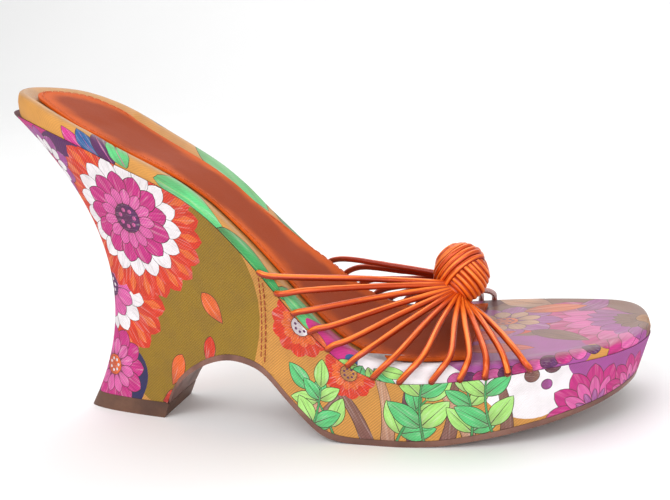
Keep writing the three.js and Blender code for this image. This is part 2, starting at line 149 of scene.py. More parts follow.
# Lower edge of the wedge from the heel's breast to the toe. arch, spring: its height. For each
# side as shares of the ball width, in: inside the footbed's edge; dip: the wall's hollow.
LOWER = Table(
    "arch spring outer_in inner_in outer_dip inner_dip",
    (0.228, 0, 0, 0.195, 0.14, 0.104, 0.06),
    (0.246, 0.31, 0, 0.183, 0.122, 0.094, 0.052),
    (0.271, 0.584, 0, 0.161, 0.089, 0.084, 0.043),
    (0.308, 0.805, 0, 0.138, 0.056, 0.067, 0.029),
    (0.346, 0.95, 0, 0.095, 0.035, 0.055, 0.017),
    (0.38, 1, 0, 0.062, 0.024, 0.048, 0.012),
    (0.42, 0.938, 0, 0.034, 0.023, 0.041, 0.012),
    (0.443, 0.809, 0, 0.023, 0.022, 0.037, 0.014),
    (0.465, 0.603, 0, 0.018, 0.022, 0.034, 0.017),
    (0.49, 0.374, 0, 0.019, 0.022, 0.029, 0.018),
    (0.521, 0.125, 0, 0.023, 0.023, 0.024, 0.018),
    (0.549, 0.035, 0, 0.026, 0.026, 0.02, 0.018),
    (0.586, 0, 0, 0.036, 0.034, 0.017, 0.016),
    (0.66, 0, 0, 0.04, 0.039, 0.014, 0.013),
    (0.702, 0, 0.045, 0.042, 0.042, 0.012, 0.012),
    (0.739, 0, 0.15, 0.042, 0.042, 0.012, 0.012),
    (0.79, 0, 0.31, 0.042, 0.042, 0.012, 0.012),
    (0.828, 0, 0.43, 0.042, 0.042, 0.012, 0.012),
    (0.883, 0, 0.59, 0.042, 0.042, 0.012, 0.012),
    (0.948, 0, 0.795, 0.042, 0.042, -0.005, -0.005),
    (1, 0, 1, 0.042, 0.042, -0.012, -0.012),
)
BREAST_AT = 0.228
ARCH_TOP_AT = 0.38
WAIST_AT = 0.432
SOCK_END_AT = 0.735
KNOT_AT = 0.715


def side_name(side):
    return "outer" if side == OUTER else "inner"


def round_end(u, sharp, full):
    return (1 - clamp(u, 0, 1) ** sharp) ** full


def toe_fade(at, side):
    if side == OUTER:
        return round_end((at - 0.72) / 0.28, 2, 0.61)
    return round_end((at - 0.87) / 0.13, 5, 0.3)


def edge_y(at, side):
    half = BALL_WIDTH * FOOTBED(side_name(side), at) * round_end(1 - at / 0.15, 2, 0.5)
    return lerp(TOE_TIP_Y, side * half, toe_fade(at, side))


def footbed_top(at):
    return FOREFOOT + (HEEL_RIM - FOREFOOT) * FOOTBED("height", at)


def footbed_edge(at):
    return EDGE * FOOTBED("edge", at)


def footbed_bed(at):
    return footbed_top(at) - RIM_RISE * FOOTBED("bed", at)


def seam_height(at):
    return footbed_top(at) - footbed_edge(at)


def outward(at, side):
    """Direction away from the footbed's edge, seen from above."""
    step = 0.002
    a, b = max(at - step, 0), min(at + step, 1)
    if a == 0:
        return Vector((-1, side * at / step)).normalized()
    if b == 1:
        return Vector((1, side * (1 - at) / step)).normalized()
    rise = edge_y(b, side) - edge_y(a, side)
    return Vector((-rise, (b - a) * LENGTH)).normalized() * side


def footbed_normal(at):
    step = 0.01
    fall = footbed_top(at + step) - footbed_top(at - step)
    return Vector((-fall, 0, 2 * step * LENGTH)).normalized()


def rim_point(at, side, inset, z):
    out = outward(at, side)
    return Vector((at * LENGTH - out.x * inset, edge_y(at, side) - out.y * inset, z))


def lower_height(at):
    if at <= BREAST_AT:
        return 0
    return max(0, ARCH_HEIGHT * LOWER("arch", at) + TOE_SPRING * LOWER("spring", at))


def breast_fade(at):
    return clamp((ARCH_TOP_AT - at) / (ARCH_TOP_AT - BREAST_AT), 0, 1)


def lower_point(at, side):
    corner = side * BASE_WIDTH * (0.55 if side == OUTER else 0.45)
    if at <= BREAST_AT:
        u = at / BREAST_AT
        return Vector((lerp(BASE_SETBACK, BASE_FRONT, u), corner * u**0.62, 0))

    def free(share):
        inset = BALL_WIDTH * LOWER(side_name(side) + "_in", share)
        return edge_y(share, side) - side * inset * toe_fade(share, side)

    y = free(at) + (corner - free(BREAST_AT)) * breast_fade(at)
    x = lerp(BASE_FRONT, LENGTH - TOE_UNDERCUT, (at - BREAST_AT) / (1 - BREAST_AT))
    return Vector((x, y, lower_height(at)))


def upper_point(at, side):
    lip = HEEL_LIP * clamp(1 - at / 0.04, 0, 1) ** 1.5
    gap = CLEARANCE / footbed_normal(clamp(at, 0.01, 0.99)).z
    return rim_point(at, side, -lip, seam_height(at) - gap + lip * 0.4)


def throat_point(at, side, upper, lower):
    middle = (upper + lower) / 2

    def hollow(share):
        return side * BALL_WIDTH * LOWER(side_name(side) + "_dip", share)

    corner = side * THROAT_WIDTH * (0.525 if side == OUTER else 0.475)
    if at <= BREAST_AT:
        u = at / BREAST_AT
        middle.x = lerp(THROAT_SETBACK, (upper_point(BREAST_AT, side).x + BASE_FRONT) / 2, u)
        middle.y = corner * u**0.42
        return middle
    free = (upper_point(BREAST_AT, side).y + lower_point(BREAST_AT, side).y) / 2 - hollow(BREAST_AT)
    middle.y += (corner - free) * breast_fade(at) - hollow(at) * toe_fade(at, side)
    return middle


def wall_column(at, side):
    """Upper, middle and lower point that one upright line of the wedge's wall bends through."""
    upper, lower = upper_point(at, side), lower_point(at, side)
    return upper, throat_point(at, side, upper, lower), lower


def on_column(column, z):
    upper, throat, lower = column
    v = (upper.z - z) / (upper.z - lower.z)
    point = upper.lerp(lower, v) + (throat - (upper + lower) / 2) * 4 * v * (1 - v)
    point.z = z
    return point


def wall_point(at, side, z):
    return on_column(wall_column(at, side), z)


def wall_foot(at):
    """Height of the cloth's lower edge, over the top piece or the outsole."""
    piece_top = TOP_PIECE + SEAM_GAP
    on_sole = lower_height(at) + OUTSOLE + SEAM_GAP
    if at <= BREAST_AT:
        return piece_top
    return max(piece_top, on_sole) if at < ARCH_TOP_AT else on_sole


# The print. Lengths on the flat cloth are in millimetres.

def tone(code):
    """Linear colour of a web colour code, such as the defaults of the colour settings."""
    parts = [int(code[k:k + 2], 16) / 255 for k in (1, 3, 5)]
    return tuple(c / 12.92 if c <= 0.04045 else ((c + 0.055) / 1.055) ** 2.4 for c in parts)


DYES = {
    "ochre": "#cf9247",
    "olive": "#96751f",
    "red": "#de3b24",
    "orange": "#ec6a30",
    "magenta": "#cc2f86",
    "pink": "#e264ab",
    "mauve": "#a9509c",
    "violet": "#5d2b62",
    "navy": "#2b2c5c",
    "blue": "#2f5f96",
    "mint": "#5cc97c",
    "lime": "#a5dd78",
    "green": "#3da35c",
    "white": "#e9e3e6",
    "brown": "#8a6156",
    "blush": "#cd9c7e",
    "plum": "#6a4350",
    "ink": "#3a3026",
}


class Print:
    """Coloured shapes laid one over another on flat cloth. Each keeps the line from its base to
    its tip, along which its dye is drawn out."""

    def __init__(self, ground):
        self.shapes = [(None, ground, (0, 0), (0, 0), 1)]

    def shape(self, outline, dye, base=(0, 0), tip=(0, 0), breadth=1):
        self.shapes.append((outline, dye, base, tip, breadth))

    def inked(self, outline, dye, base, tip, breadth, line):
        """Shape with an ink line round it, or without one where the line's width is 0."""
        if line:
            self.shape(widened(outline, line), "ink")
        self.shape(outline, dye, base, tip, breadth)

    def petal(self, base, angle, length, breadth, dye, full=1.3, blunt=0.8, lobes=0, line=0.22):
        """Petal or leaf. full moves its widest place to the tip, blunt rounds its ends."""
        direction = (math.cos(angle), math.sin(angle))
        steps = 15

        def edge(t, hand):
            half = breadth / 2 * math.sin(math.pi * t**full) ** blunt
            half *= 1 + (0.14 * abs(math.sin(lobes * math.pi * t)) if lobes else 0)
            x, y = length * t, hand * half
            return (base[0] + x * direction[0] - y * direction[1],
                    base[1] + x * direction[1] + y * direction[0])

        left = [edge(k / steps, 1) for k in range(steps + 1)]
        right = [edge(k / steps, -1) for k in range(steps - 1, 0, -1)]
        outline = (left + right)[::-1]
        tip = (base[0] + length * direction[0], base[1] + length * direction[1])
        self.inked(outline, dye, base, tip, breadth, line)

    def disc(self, centre, radius, dye, line=0.2):
        count = 22
        outline = []
        for k in range(count):
            turn = 2 * math.pi * k / count
            outline.append((centre[0] + radius * math.cos(turn), centre[1] + radius * math.sin(turn)))
        self.inked(outline, dye, centre, (centre[0] + radius, centre[1]), radius, line)

    def stroke(self, points, breadth, dye, taper=0.0):
        """Line of a breadth through the points, thinner towards its end by taper."""
        left, right = [], []
        for k, point in enumerate(points):
            a, b = points[max(k - 1, 0)], points[min(k + 1, len(points) - 1)]
            across = Vector((a[1] - b[1], b[0] - a[0])).normalized()
            across *= breadth / 2 * (1 - taper * k / (len(points) - 1))
            left.append((point[0] + across.x, point[1] + across.y))
            right.append((point[0] - across.x, point[1] - across.y))
        self.shape(right + left[::-1], dye, points[0], points[-1], breadth)

    def blossom(self, centre, rings, heart, heart_dye, seeds=None):
        """Rings of petals from the outside in, and a heart. A ring is its number of petals,
        inner and outer radius, breadth, dye, fullness, turn in degrees and width of line."""
        for count, inner, outer, breadth, dye, full, turn, line in rings:
            for k in range(count):
                angle = math.radians(turn) + 2 * math.pi * k / count
                start = (centre[0] + inner * math.cos(angle), centre[1] + inner * math.sin(angle))
                self.petal(start, angle, outer - inner, breadth, dye, full, 0.7, 0, line)
        self.disc(centre, heart, heart_dye)
        if seeds:
            for k in range(7):
                angle = 2 * math.pi * k / 7
                spot = (centre[0] + 0.58 * heart * math.cos(angle),
                        centre[1] + 0.58 * heart * math.sin(angle))
                self.disc(spot, heart * 0.15, seeds, 0)

    def leaf(self, base, angle, length, breadth, dye, vein="ink", lobes=0):
        self.petal(base, angle, length, breadth, dye, 0.85, 0.85, lobes)
        ribs = [(base[0] + length * t * math.cos(angle), base[1] + length * t * math.sin(angle))
                for t in (0.06, 0.5, 0.88)]
        self.stroke(ribs, 0.3, vein, 0.7)

    def spray(self, base, angle, length, bend, pairs, size, dyes, stem):
        """Curved stem with pairs of leaflets that take the dyes in turn."""
        steps, droop = 14, 0.85
        points = curved_line(base, angle, length, bend, steps)
        for k in range(pairs):
            share = (k + 0.9) / (pairs + 0.4)
            spot, way = points[min(int(share * steps), steps)]
            reach = size * (1 - 0.35 * share)
            for hand in (1, -1):
                dye = dyes[(k + (hand < 0)) % len(dyes)]
                self.leaf(spot, way + hand * droop, reach, reach * 0.52, dye)
        spot, way = points[-1]
        self.leaf(spot, way, size * 0.85, size * 0.44, dyes[pairs % len(dyes)])
        self.stroke([p for p, _ in points], 1.15, "ink", 0.4)
        self.stroke([p for p, _ in points], 0.75, stem, 0.4)

    def patch(self, centre, size, dye, turn, waves, depth):
        """Large area of one dye with a waved outline."""
        count = 40
        outline = []
        for k in range(count):
            a = 2 * math.pi * k / count
            r = 1 + depth * math.sin(waves * a + turn)
            x, y = size[0] * r * math.cos(a), size[1] * r * math.sin(a)
            c, s = math.cos(math.radians(turn)), math.sin(math.radians(turn))
            outline.append((centre[0] + x * c - y * s, centre[1] + x * s + y * c))
        self.shape(outline, dye)


def curved_line(start, heading, length, bend, steps):
    """Places and headings along an evenly bent line. bend: its whole turn in degrees."""
    position, line = Vector(start), []
    for _ in range(steps + 1):
        line.append((tuple(position), heading))
        position = position + Vector((math.cos(heading), math.sin(heading))) * length / steps
        heading += math.radians(bend) / steps
    return line


def widened(outline, by):
    """The outline moved outwards by a distance."""
    moved = []
    count = len(outline)
    turning = sum(a[0] * b[1] - b[0] * a[1] for a, b in zip(outline, outline[1:] + outline[:1]))
    hand = 1 if turning > 0 else -1
    for k in range(count):
        a, b = outline[k - 1], outline[(k + 1) % count]
        out = Vector((b[1] - a[1], a[0] - b[0])).normalized() * by * hand
        moved.append((outline[k][0] + out.x, outline[k][1] + out.y))
    return moved


def covers(outline, spot):
    """True if the outline runs round the spot, and for the ground, which has no outline."""
    if not outline:
        return True
    inside = False
    for (ax, ay), (bx, by) in zip(outline, outline[1:] + outline[:1]):
        if (ay > spot.y) != (by > spot.y) and spot.x < ax + (bx - ax) * (spot.y - ay) / (by - ay):
            inside = not inside
    return inside


class Sheet:
    """Flat cloth, cut along its print and laid on a form.
    sides: the flat outline as chains of points, anticlockwise. inner: more flat points.
    lay(x, y): the place in metres of a flat point. fold(x, y): how deep the cloth turns in
    there, and how fast it falls along x and y."""

    def __init__(self, sides, inner, cloth_print, lay, fold):
        flat = [Vector(p) for side in sides for p in side[:-1]]
        corners, start = [], 0
        for side in sides:
            corners.append(start)
            start += len(side) - 1
        faces = [list(range(len(flat)))]
        for outline, *_ in cloth_print.shapes[1:]:
            faces.append(list(range(len(flat), len(flat) + len(outline))))
            flat.extend(Vector(p) for p in outline)
        flat.extend(Vector(p) for p in inner)
        points, _, cells, from_points, _, from_faces = delaunay_2d_cdt(flat, [], faces, 1, 1e-4, True)
        self.triangles, self.shape_of = [], []
        for cell, sources in zip(cells, from_faces):
            if 0 in sources:
                middle = (points[cell[0]] + points[cell[1]] + points[cell[2]]) / 3
                self.triangles.append(tuple(cell))
                self.shape_of.append(max(k for k in sources if covers(cloth_print.shapes[k][0], middle)))
        used = sorted({k for cell in self.triangles for k in cell})
        number = {k: n for n, k in enumerate(used)}
        self.triangles = [tuple(number[k] for k in cell) for cell in self.triangles]
        self.flat = [points[k] for k in used]
        self.print = cloth_print
        corner_of = {source: number[k] for k, sources in enumerate(from_points)
                     for source in sources if k in number}
        self.chains = self.boundary([corner_of[c] for c in corners])
        self.points, self.normals = [], []
        step = 0.12
        for x, y in self.flat:
            along = (lay(x + step, y) - lay(x - step, y)).normalized()
            upward = (lay(x, y + step) - lay(x, y - step)).normalized()
            normal = along.cross(upward).normalized()
            depth, fall_x, fall_y = fold(x, y)
            self.points.append(lay(x, y) - normal * depth * MM)
            self.normals.append((normal + along * fall_x + upward * fall_y).normalized())

    def boundary(self, corners):
        """Vertex numbers of each side of the outline."""
        directed = {(a, b) for cell in self.triangles
                    for a, b in zip(cell, cell[1:] + cell[:1])}
        after = {a: b for a, b in directed if (b, a) not in directed}
        chains = []
        for k, corner in enumerate(corners):
            goal = corners[(k + 1) % len(corners)]
            chain = [corner]
            while chain[-1] != goal or len(chain) == 1:
                chain.append(after[chain[-1]])
            chains.append(chain)
        return chains


def sewn(points, first, second):
    """Triangles between two chains of vertices that run the same way."""
    def shares(chain):
        lengths = [0]
        for a, b in zip(chain, chain[1:]):
            lengths.append(lengths[-1] + (points[b] - points[a]).length)
        return [length / lengths[-1] for length in lengths]

    one, two = shares(first), shares(second)
    i, j, triangles = 0, 0, []
    while i < len(first) - 1 or j < len(second) - 1:
        if j == len(second) - 1 or (i < len(first) - 1 and one[i + 1] <= two[j + 1]):
            triangles.append((first[i], first[i + 1], second[j]))
            i += 1
        else:
            triangles.append((first[i], second[j + 1], second[j]))
            j += 1
    return [t for t in triangles if len(set(t)) == 3]


def cloth_piece(name, sheets, seams, edge_dye):
    """One closed mesh of sheets of printed cloth.
    seams: pairs of vertex chains, given as lists of (sheet, chain, reversed)."""
    points, normals, flats, triangles, looks, offsets = [], [], [], [], [], []
    for sheet in sheets:
        start = len(points)
        offsets.append(start)
        points += sheet.points
        normals += sheet.normals
        flats += sheet.flat
        for cell, shape in zip(sheet.triangles, sheet.shape_of):
            triangles.append(tuple(start + k for k in cell))
            looks.append(sheet.print.shapes[shape])
    walls = len(triangles)

    def chain(parts):
        joined = []
        for sheet, side, backwards in parts:
            run = [offsets[sheet] + k for k in sheets[sheet].chains[side]]
            joined += run[::-1] if backwards else run
        return joined

    for one, two in seams:
        for cell in sewn(points, chain(one), chain(two)):
            triangles.append(cell)
            looks.append((None, edge_dye, (0, 0), (0, 0), 1))
    mesh = bpy.data.meshes.new(name)
    mesh.from_pydata([tuple(p) for p in points], [], triangles)
    face_outwards(mesh)
    piece = bpy.data.objects.new(name, mesh)
    bpy.context.collection.objects.link(piece)
    paint(mesh, flats, looks)
    mesh.shade_smooth()
    corner_normals = []
    for cell in mesh.polygons:
        for k in cell.vertices:
            corner_normals.append(normals[k] if cell.index < walls else cell.normal)
    mesh.normals_split_custom_set(corner_normals)
    return piece


def face_outwards(mesh):
    form = bmesh.new()
    form.from_mesh(mesh)
    bmesh.ops.recalc_face_normals(form, faces=form.faces)
    form.to_mesh(mesh)
    form.free()


def paint(mesh, flats, looks):
    """Writes each face's dye, its place along its petal and its place on the flat cloth, which
    the UV map gives in units of 100 mm."""
    colours = cloth_colours()
    dye = mesh.color_attributes.new("dye", "FLOAT_COLOR", "CORNER")
    petal = mesh.attributes.new("petal", "FLOAT_VECTOR", "CORNER")
    uv = mesh.uv_layers.new(name="cloth")
    mesh.color_attributes.active_color = dye
    for cell in mesh.polygons:
        _, name, base, tip, breadth = looks[cell.index]
        axis = Vector(tip) - Vector(base)
        length = axis.length
        seed = 0.37 * base[0] + 0.61 * base[1] + length
        for corner in cell.loop_indices:
            flat = flats[mesh.loops[corner].vertex_index]
            dye.data[corner].color = (*colours[name], 1)
            uv.data[corner].uv = flat * 0.01
            if length:
                offset = flat - Vector(base)
                along = offset.dot(axis) / length**2
                across = axis.cross(offset) / length / breadth
                petal.data[corner].vector = (along, across, seed)
            else:
                petal.data[corner].vector = (0.5, 0, 0)


def cloth_colours():
    dyes = bpy.context.scene.mule_dyes
    return {name: tuple(getattr(dyes, name)) for name in DYES}


class WallPanel:
    """One cloth panel of the wedge's wall. Flat x is measured round the wall and agrees with the
    shoe's length at the waist seam, and flat y is the height, both in millimetres."""

    ROWS = 24

    def __init__(self, columns, anchor, hand):
        self.columns = [(at, side, *self.trimmed(at, side)) for at, side in columns]
        self.flat_x = []
        for row in range(self.ROWS + 1):
            line = [self.point(c, row / self.ROWS) for c in range(len(columns))]
            run = [0]
            for a, b in zip(line, line[1:]):
                run.append(run[-1] + (b.xy - a.xy).length)
            start = hand * line[anchor].x - run[anchor]
            self.flat_x.append([(start + r) / MM for r in run])

    def trimmed(self, at, side):
        """The line, and the heights between which cloth covers it, up to its neighbours."""
        column = wall_column(at, side)
        return column, column[0].z + CLEARANCE - SEAM_GAP, wall_foot(at)

    def point(self, c, v):
        _, _, column, top, foot = self.columns[c]
        return on_column(column, lerp(top, foot, v))

    def x_at(self, c, v):
        i, j = min(int(c), len(self.columns) - 2), min(int(v * self.ROWS), self.ROWS - 1)
        t, s = c - i, v * self.ROWS - j
        upper = lerp(self.flat_x[j][i], self.flat_x[j][i + 1], t)
        return lerp(upper, lerp(self.flat_x[j + 1][i], self.flat_x[j + 1][i + 1], t), s)

    def span(self, c):
        i = min(int(c), len(self.columns) - 2)
        a, b, t = self.columns[i], self.columns[i + 1], c - i
        return lerp(a[3], b[3], t), lerp(a[4], b[4], t)

    def share(self, c, z):
        top, foot = self.span(c)
        return clamp((top - z) / (top - foot), 0, 1)

    def find(self, x, y):
        """Column and share down the wall of a flat point."""
        z = y * MM
        low, high = 0, len(self.columns) - 1
        while high - low > 1:
            middle = (low + high) // 2
            if self.x_at(middle, self.share(middle, z)) < x:
                low = middle
            else:
                high = middle
        before, after = (self.x_at(c, self.share(c, z)) for c in (low, high))
        c = low + clamp((x - before) / (after - before), 0, 1)
        return c, self.share(c, z)

    def lay(self, x, y):
        c, v = self.find(x, y)
        i = min(int(c), len(self.columns) - 2)
        return self.point(i, v).lerp(self.point(i + 1, v), c - i)

    def flat(self, c, v):
        top, foot = self.span(c)
        return Vector((self.x_at(c, v), lerp(top, foot, v) / MM))

    def sides(self):
        """Foot, right end, top and left end, each as flat points."""
        last = len(self.columns) - 1
        steps = [k / self.ROWS for k in range(self.ROWS + 1)]
        foot = [self.flat(c, 1) for c in range(last + 1)]
        right = [self.flat(last, v) for v in reversed(steps)]
        top = [self.flat(c, 0) for c in range(last, -1, -1)]
        left = [self.flat(0, v) for v in steps]
        return [foot, right, top, left]

    def inner(self, fold_width):
        """Flat points all over the panel, close together where its edges turn in."""
        points = []
        near = [fold_width * k for k in (0.25, 0.6, 1.0)]
        last = len(self.columns) - 1
        places = [float(c) for c in range(1, last)]
        width = self.x_at(1, 0.5) - self.x_at(0, 0.5)
        places += [k / width for k in near]
        width = self.x_at(last, 0.5) - self.x_at(last - 1, 0.5)
        places += [last - k / width for k in near]
        for c in places:
            top, foot = self.span(c)
            height = (top - foot) / MM
            count = max(4, round(height / 2.6))
            downs = near + [height * k / count for k in range(1, count)] + [height - k for k in near]
            points += [self.flat(c, down / height) for down in downs]
        return points

    def fold(self, width, depth, ends):
        """How the cloth turns in at the panel's edges. ends: depths at the left and right end."""
        def measure(x, y):
            c, v = self.find(x, y)
            top, foot = self.span(c)
            total, fall_x, fall_y = 0, 0, 0
            last = len(self.columns) - 1
            for away, deep, dx, dy in (
                ((top / MM - y), depth, 0, 1),
                ((y - foot / MM), depth, 0, -1),
                ((self.x_at(last, v) - x), ends[1], 1, 0),
                ((x - self.x_at(0, v)), ends[0], -1, 0),
            ):
                q = clamp(1 - away / width, 0, 1)
                total += deep * q * q
                fall_x += dx * 2 * deep * q / width
                fall_y += dy * 2 * deep * q / width
            return total, fall_x, fall_y
        return measure


def spread(count, ease):
    """Numbers from 0 to 1, closer together towards 0 by ease."""
    return [(k / count) ** ease for k in range(count + 1)]


class FootbedForm:
    """The footbed's top and edge as one flat cloth. Inside the rim flat x and y are the shoe's
    own; outside it the edge is laid flat, away from the rim."""

    CREST = 2.7 * MM
    ROUND = 0.9 * MM
    DROP = 0.27 * MM
    SAMPLES = 700

    def __init__(self):
        turns = [math.pi * k / self.SAMPLES for k in range(self.SAMPLES + 1)]
        half = [(1 - math.cos(t)) / 2 for t in turns]
        self.rim = [(at, OUTER) for at in half] + [(at, INNER) for at in reversed(half[1:-1])]
        self.rim_flat = [Vector((at * LENGTH, edge_y(at, side))) / MM for at, side in self.rim]
        self.tree = KDTree(len(self.rim))
        for k, point in enumerate(self.rim_flat):
            self.tree.insert(point.to_3d(), k)
        self.tree.balance()
        self.bed_lines = {}
        for side in (OUTER, INNER):
            line = [rim_point(at, side, RIM_WIDTH, 0) for at in half]
            self.bed_lines[side] = ([p.x for p in line], [p.y for p in line], half)

    def edge_reach(self, at):
        """How far the flat cloth goes past the rim, down to the seam, in millimetres."""
        return footbed_edge(at) / MM + 1

    def nearest(self, x, y):
        """Share, side, distance outside the rim and the direction outwards."""
        here = Vector((x, y))
        k = self.tree.find(here.to_3d())[1]
        best = None
        count = len(self.rim)
        for a, b in ((k - 1, k), (k, (k + 1) % count)):
            start, way = self.rim_flat[a], self.rim_flat[b] - self.rim_flat[a]
            t = clamp((here - start).dot(way) / way.length_squared, 0, 1)
            foot = start + way * t
            far = (here - foot).length
            if best is None or far < best[0]:
                at = lerp(self.rim[a][0], self.rim[b][0], t)
                hand = 1 if way.x * (here.y - start.y) - way.y * (here.x - start.x) < 0 else -1
                out = Vector((way.y, -way.x)).normalized()
                best = (far, at, self.rim[k][1], hand, foot, out)
        far, at, side, hand, foot, out = best
        return at, side, hand * far, foot, out

    def profile(self, at, away):
        """Inset and height of the edge at a distance outside the rim's outline."""
        edge = footbed_edge(at)
        knots = [-RIM_WIDTH, -self.CREST, -self.ROUND, 0.4 * edge, 0.7 * edge, edge + 1 * MM]
        insets = [RIM_WIDTH, self.CREST, self.ROUND, 0, 0.04 * SEAM_GROOVE, 0.2 * SEAM_GROOVE]
        top, seam = footbed_top(at), seam_height(at)
        heights = [footbed_bed(at), top, top - self.DROP, seam + 0.6 * edge, seam + 0.3 * edge, seam]
        return smooth_between(knots, insets, away), smooth_between(knots, heights, away)

    def bed_height(self, x, y):
        found = []
        for side in (OUTER, INNER):
            xs, ys, shares = self.bed_lines[side]
            i = clamp(bisect_right(xs, x) - 1, 0, len(xs) - 2)
            t = clamp((x - xs[i]) / (xs[i + 1] - xs[i]), 0, 1)
            found.append((lerp(shares[i], shares[i + 1], t), lerp(ys[i], ys[i + 1], t)))
        (outer_at, outer_y), (inner_at, inner_y) = found
        t = clamp((y - outer_y) / max(inner_y - outer_y, MM), 0, 1)
        return footbed_bed(lerp(outer_at, inner_at, t))

    def lay(self, x, y):
        at, _, away, foot, out = self.nearest(x, y)
        if away * MM > -RIM_WIDTH:
            away = min(away, self.edge_reach(at))
            inset, z = self.profile(at, away * MM)
            flat = foot * MM - out * inset
            return Vector((flat.x, flat.y, z))
        return Vector((x * MM, y * MM, self.bed_height(x * MM, y * MM)))

    def sides(self):
        """The seam's outline on the flat cloth: outer side to the toe, inner side back."""
        runs = []
        for run in (self.rim[:self.SAMPLES + 1:4], self.rim[self.SAMPLES::4] + self.rim[:1]):
            points = []
            for at, side in run:
                out = outward(at, side)
                foot = Vector((at * LENGTH, edge_y(at, side))) / MM
                points.append(foot + out * self.edge_reach(at))
            runs.append(points)
        return runs

    def inner(self):
        points = []
        for k, (at, side) in enumerate(self.rim):
            if k % 4:
                continue
            out, foot = outward(at, side), self.rim_flat[k]
            reach = self.edge_reach(at)
            lines = [-6.5, -5.2, -4, -3.3, -2.7, -2.1, -1.5, -0.9, -0.4]
            lines += [reach * t for t in (0, 0.12, 0.24, 0.38, 0.54, 0.68, 0.8, 0.9, 0.96)]
            points += [foot + out * d for d in lines]
        shares = [(1 - math.cos(math.pi * k / 90)) / 2 for k in range(2, 89)]
        for at in shares:
            outer = rim_point(at, OUTER, RIM_WIDTH + 1.5 * MM, 0).xy / MM
            inner = rim_point(at, INNER, RIM_WIDTH + 1.5 * MM, 0).xy / MM
            count = max(2, round((inner - outer).length / 4))
            points += [outer.lerp(inner, n / count) for n in range(count + 1)]
        return points


def heel_print(hand):
    """Print of the heel and waist: two large blossoms, smaller ones and loose petals on ochre
    and olive. hand: 1 on the outer side, where flat x runs to the toe, and -1 on the inner side."""
    cloth = Print("ochre")
    turn = 0 if hand > 0 else 180

    def at(x, y):
        return (hand * x, y)

    def towards(degrees):
        return math.radians(degrees if hand > 0 else 180 - degrees)

    def bloom(x, y, rings, heart, heart_dye, seeds):
        turned = [(*ring[:6], turn + ring[6], ring[7]) for ring in rings]
        cloth.blossom(at(x, y), turned, heart, heart_dye, seeds)

    cloth.patch(at(63, 41), (29, 42), "olive", 0, 3, 0.04)
    cloth.patch(at(48, 18), (17, 14), "olive", 0, 2, 0.05)
    cloth.patch(at(8, 90), (26, 22), "magenta", -hand * 30, 5, 0.06)
    cloth.patch(at(26, 84), (24, 22), "violet", -hand * 20, 4, 0.06)
    cloth.patch(at(19, 12), (18, 16), "navy", 0, 3, 0.08)
    bloom(22, 48, [
        (19, 6, 28.5, 10.5, "red", 2, 4, 0),
        (19, 9, 26.5, 4, "orange", 1.6, 4, 0),
        (19, 6, 25, 5.5, "red", 1.8, 13.5, 0),
        (14, 4, 18.5, 7, "white", 1.7, 9, 0.16),
        (11, 3, 13, 6.4, "pink", 1.4, 4, 0.24),
    ], 4.6, "violet", "white")
    bloom(43, 75, [
        (24, 8, 31, 9.5, "red", 2, 0, 0),
        (24, 10, 29.5, 3.6, "orange", 1.6, 0, 0),
        (24, 8, 27.5, 5, "red", 1.8, 7.5, 0),
        (17, 6, 22.5, 7.2, "white", 1.8, 9, 0.16),
        (13, 4, 17.5, 7.6, "magenta", 1.5, 4, 0.26),
        (13, 4, 11.5, 4.2, "pink", 1.3, 18, 0.2),
    ], 5.4, "violet", "pink")
    bloom(9, 95, [
        (11, 3, 14.5, 6.6, "mauve", 1.5, 8, 0.22),
        (11, 3, 10.5, 4.2, "white", 1.4, 24, 0.2),
    ], 3.6, "magenta", "orange")
    bloom(20, 17, [
        (12, 3, 15.5, 7, "magenta", 1.6, 0, 0.24),
        (12, 3, 10.5, 4, "pink", 1.4, 15, 0.2),
    ], 3.8, "orange", "white")
    cloth.disc(at(-3, 111.5), 3.2, "ink", 0)
    for x, y, angle, size, dye in (
        (50, 13, 64, 13, "orange"), (44, 6, 20, 12, "red"),
        (76, 38, 128, 13, "orange"), (68, 22, 80, 11, "red"),
    ):
        cloth.petal(at(x, y), towards(angle), size, size * 0.5, dye, 1.35, 0.7)
    return cloth


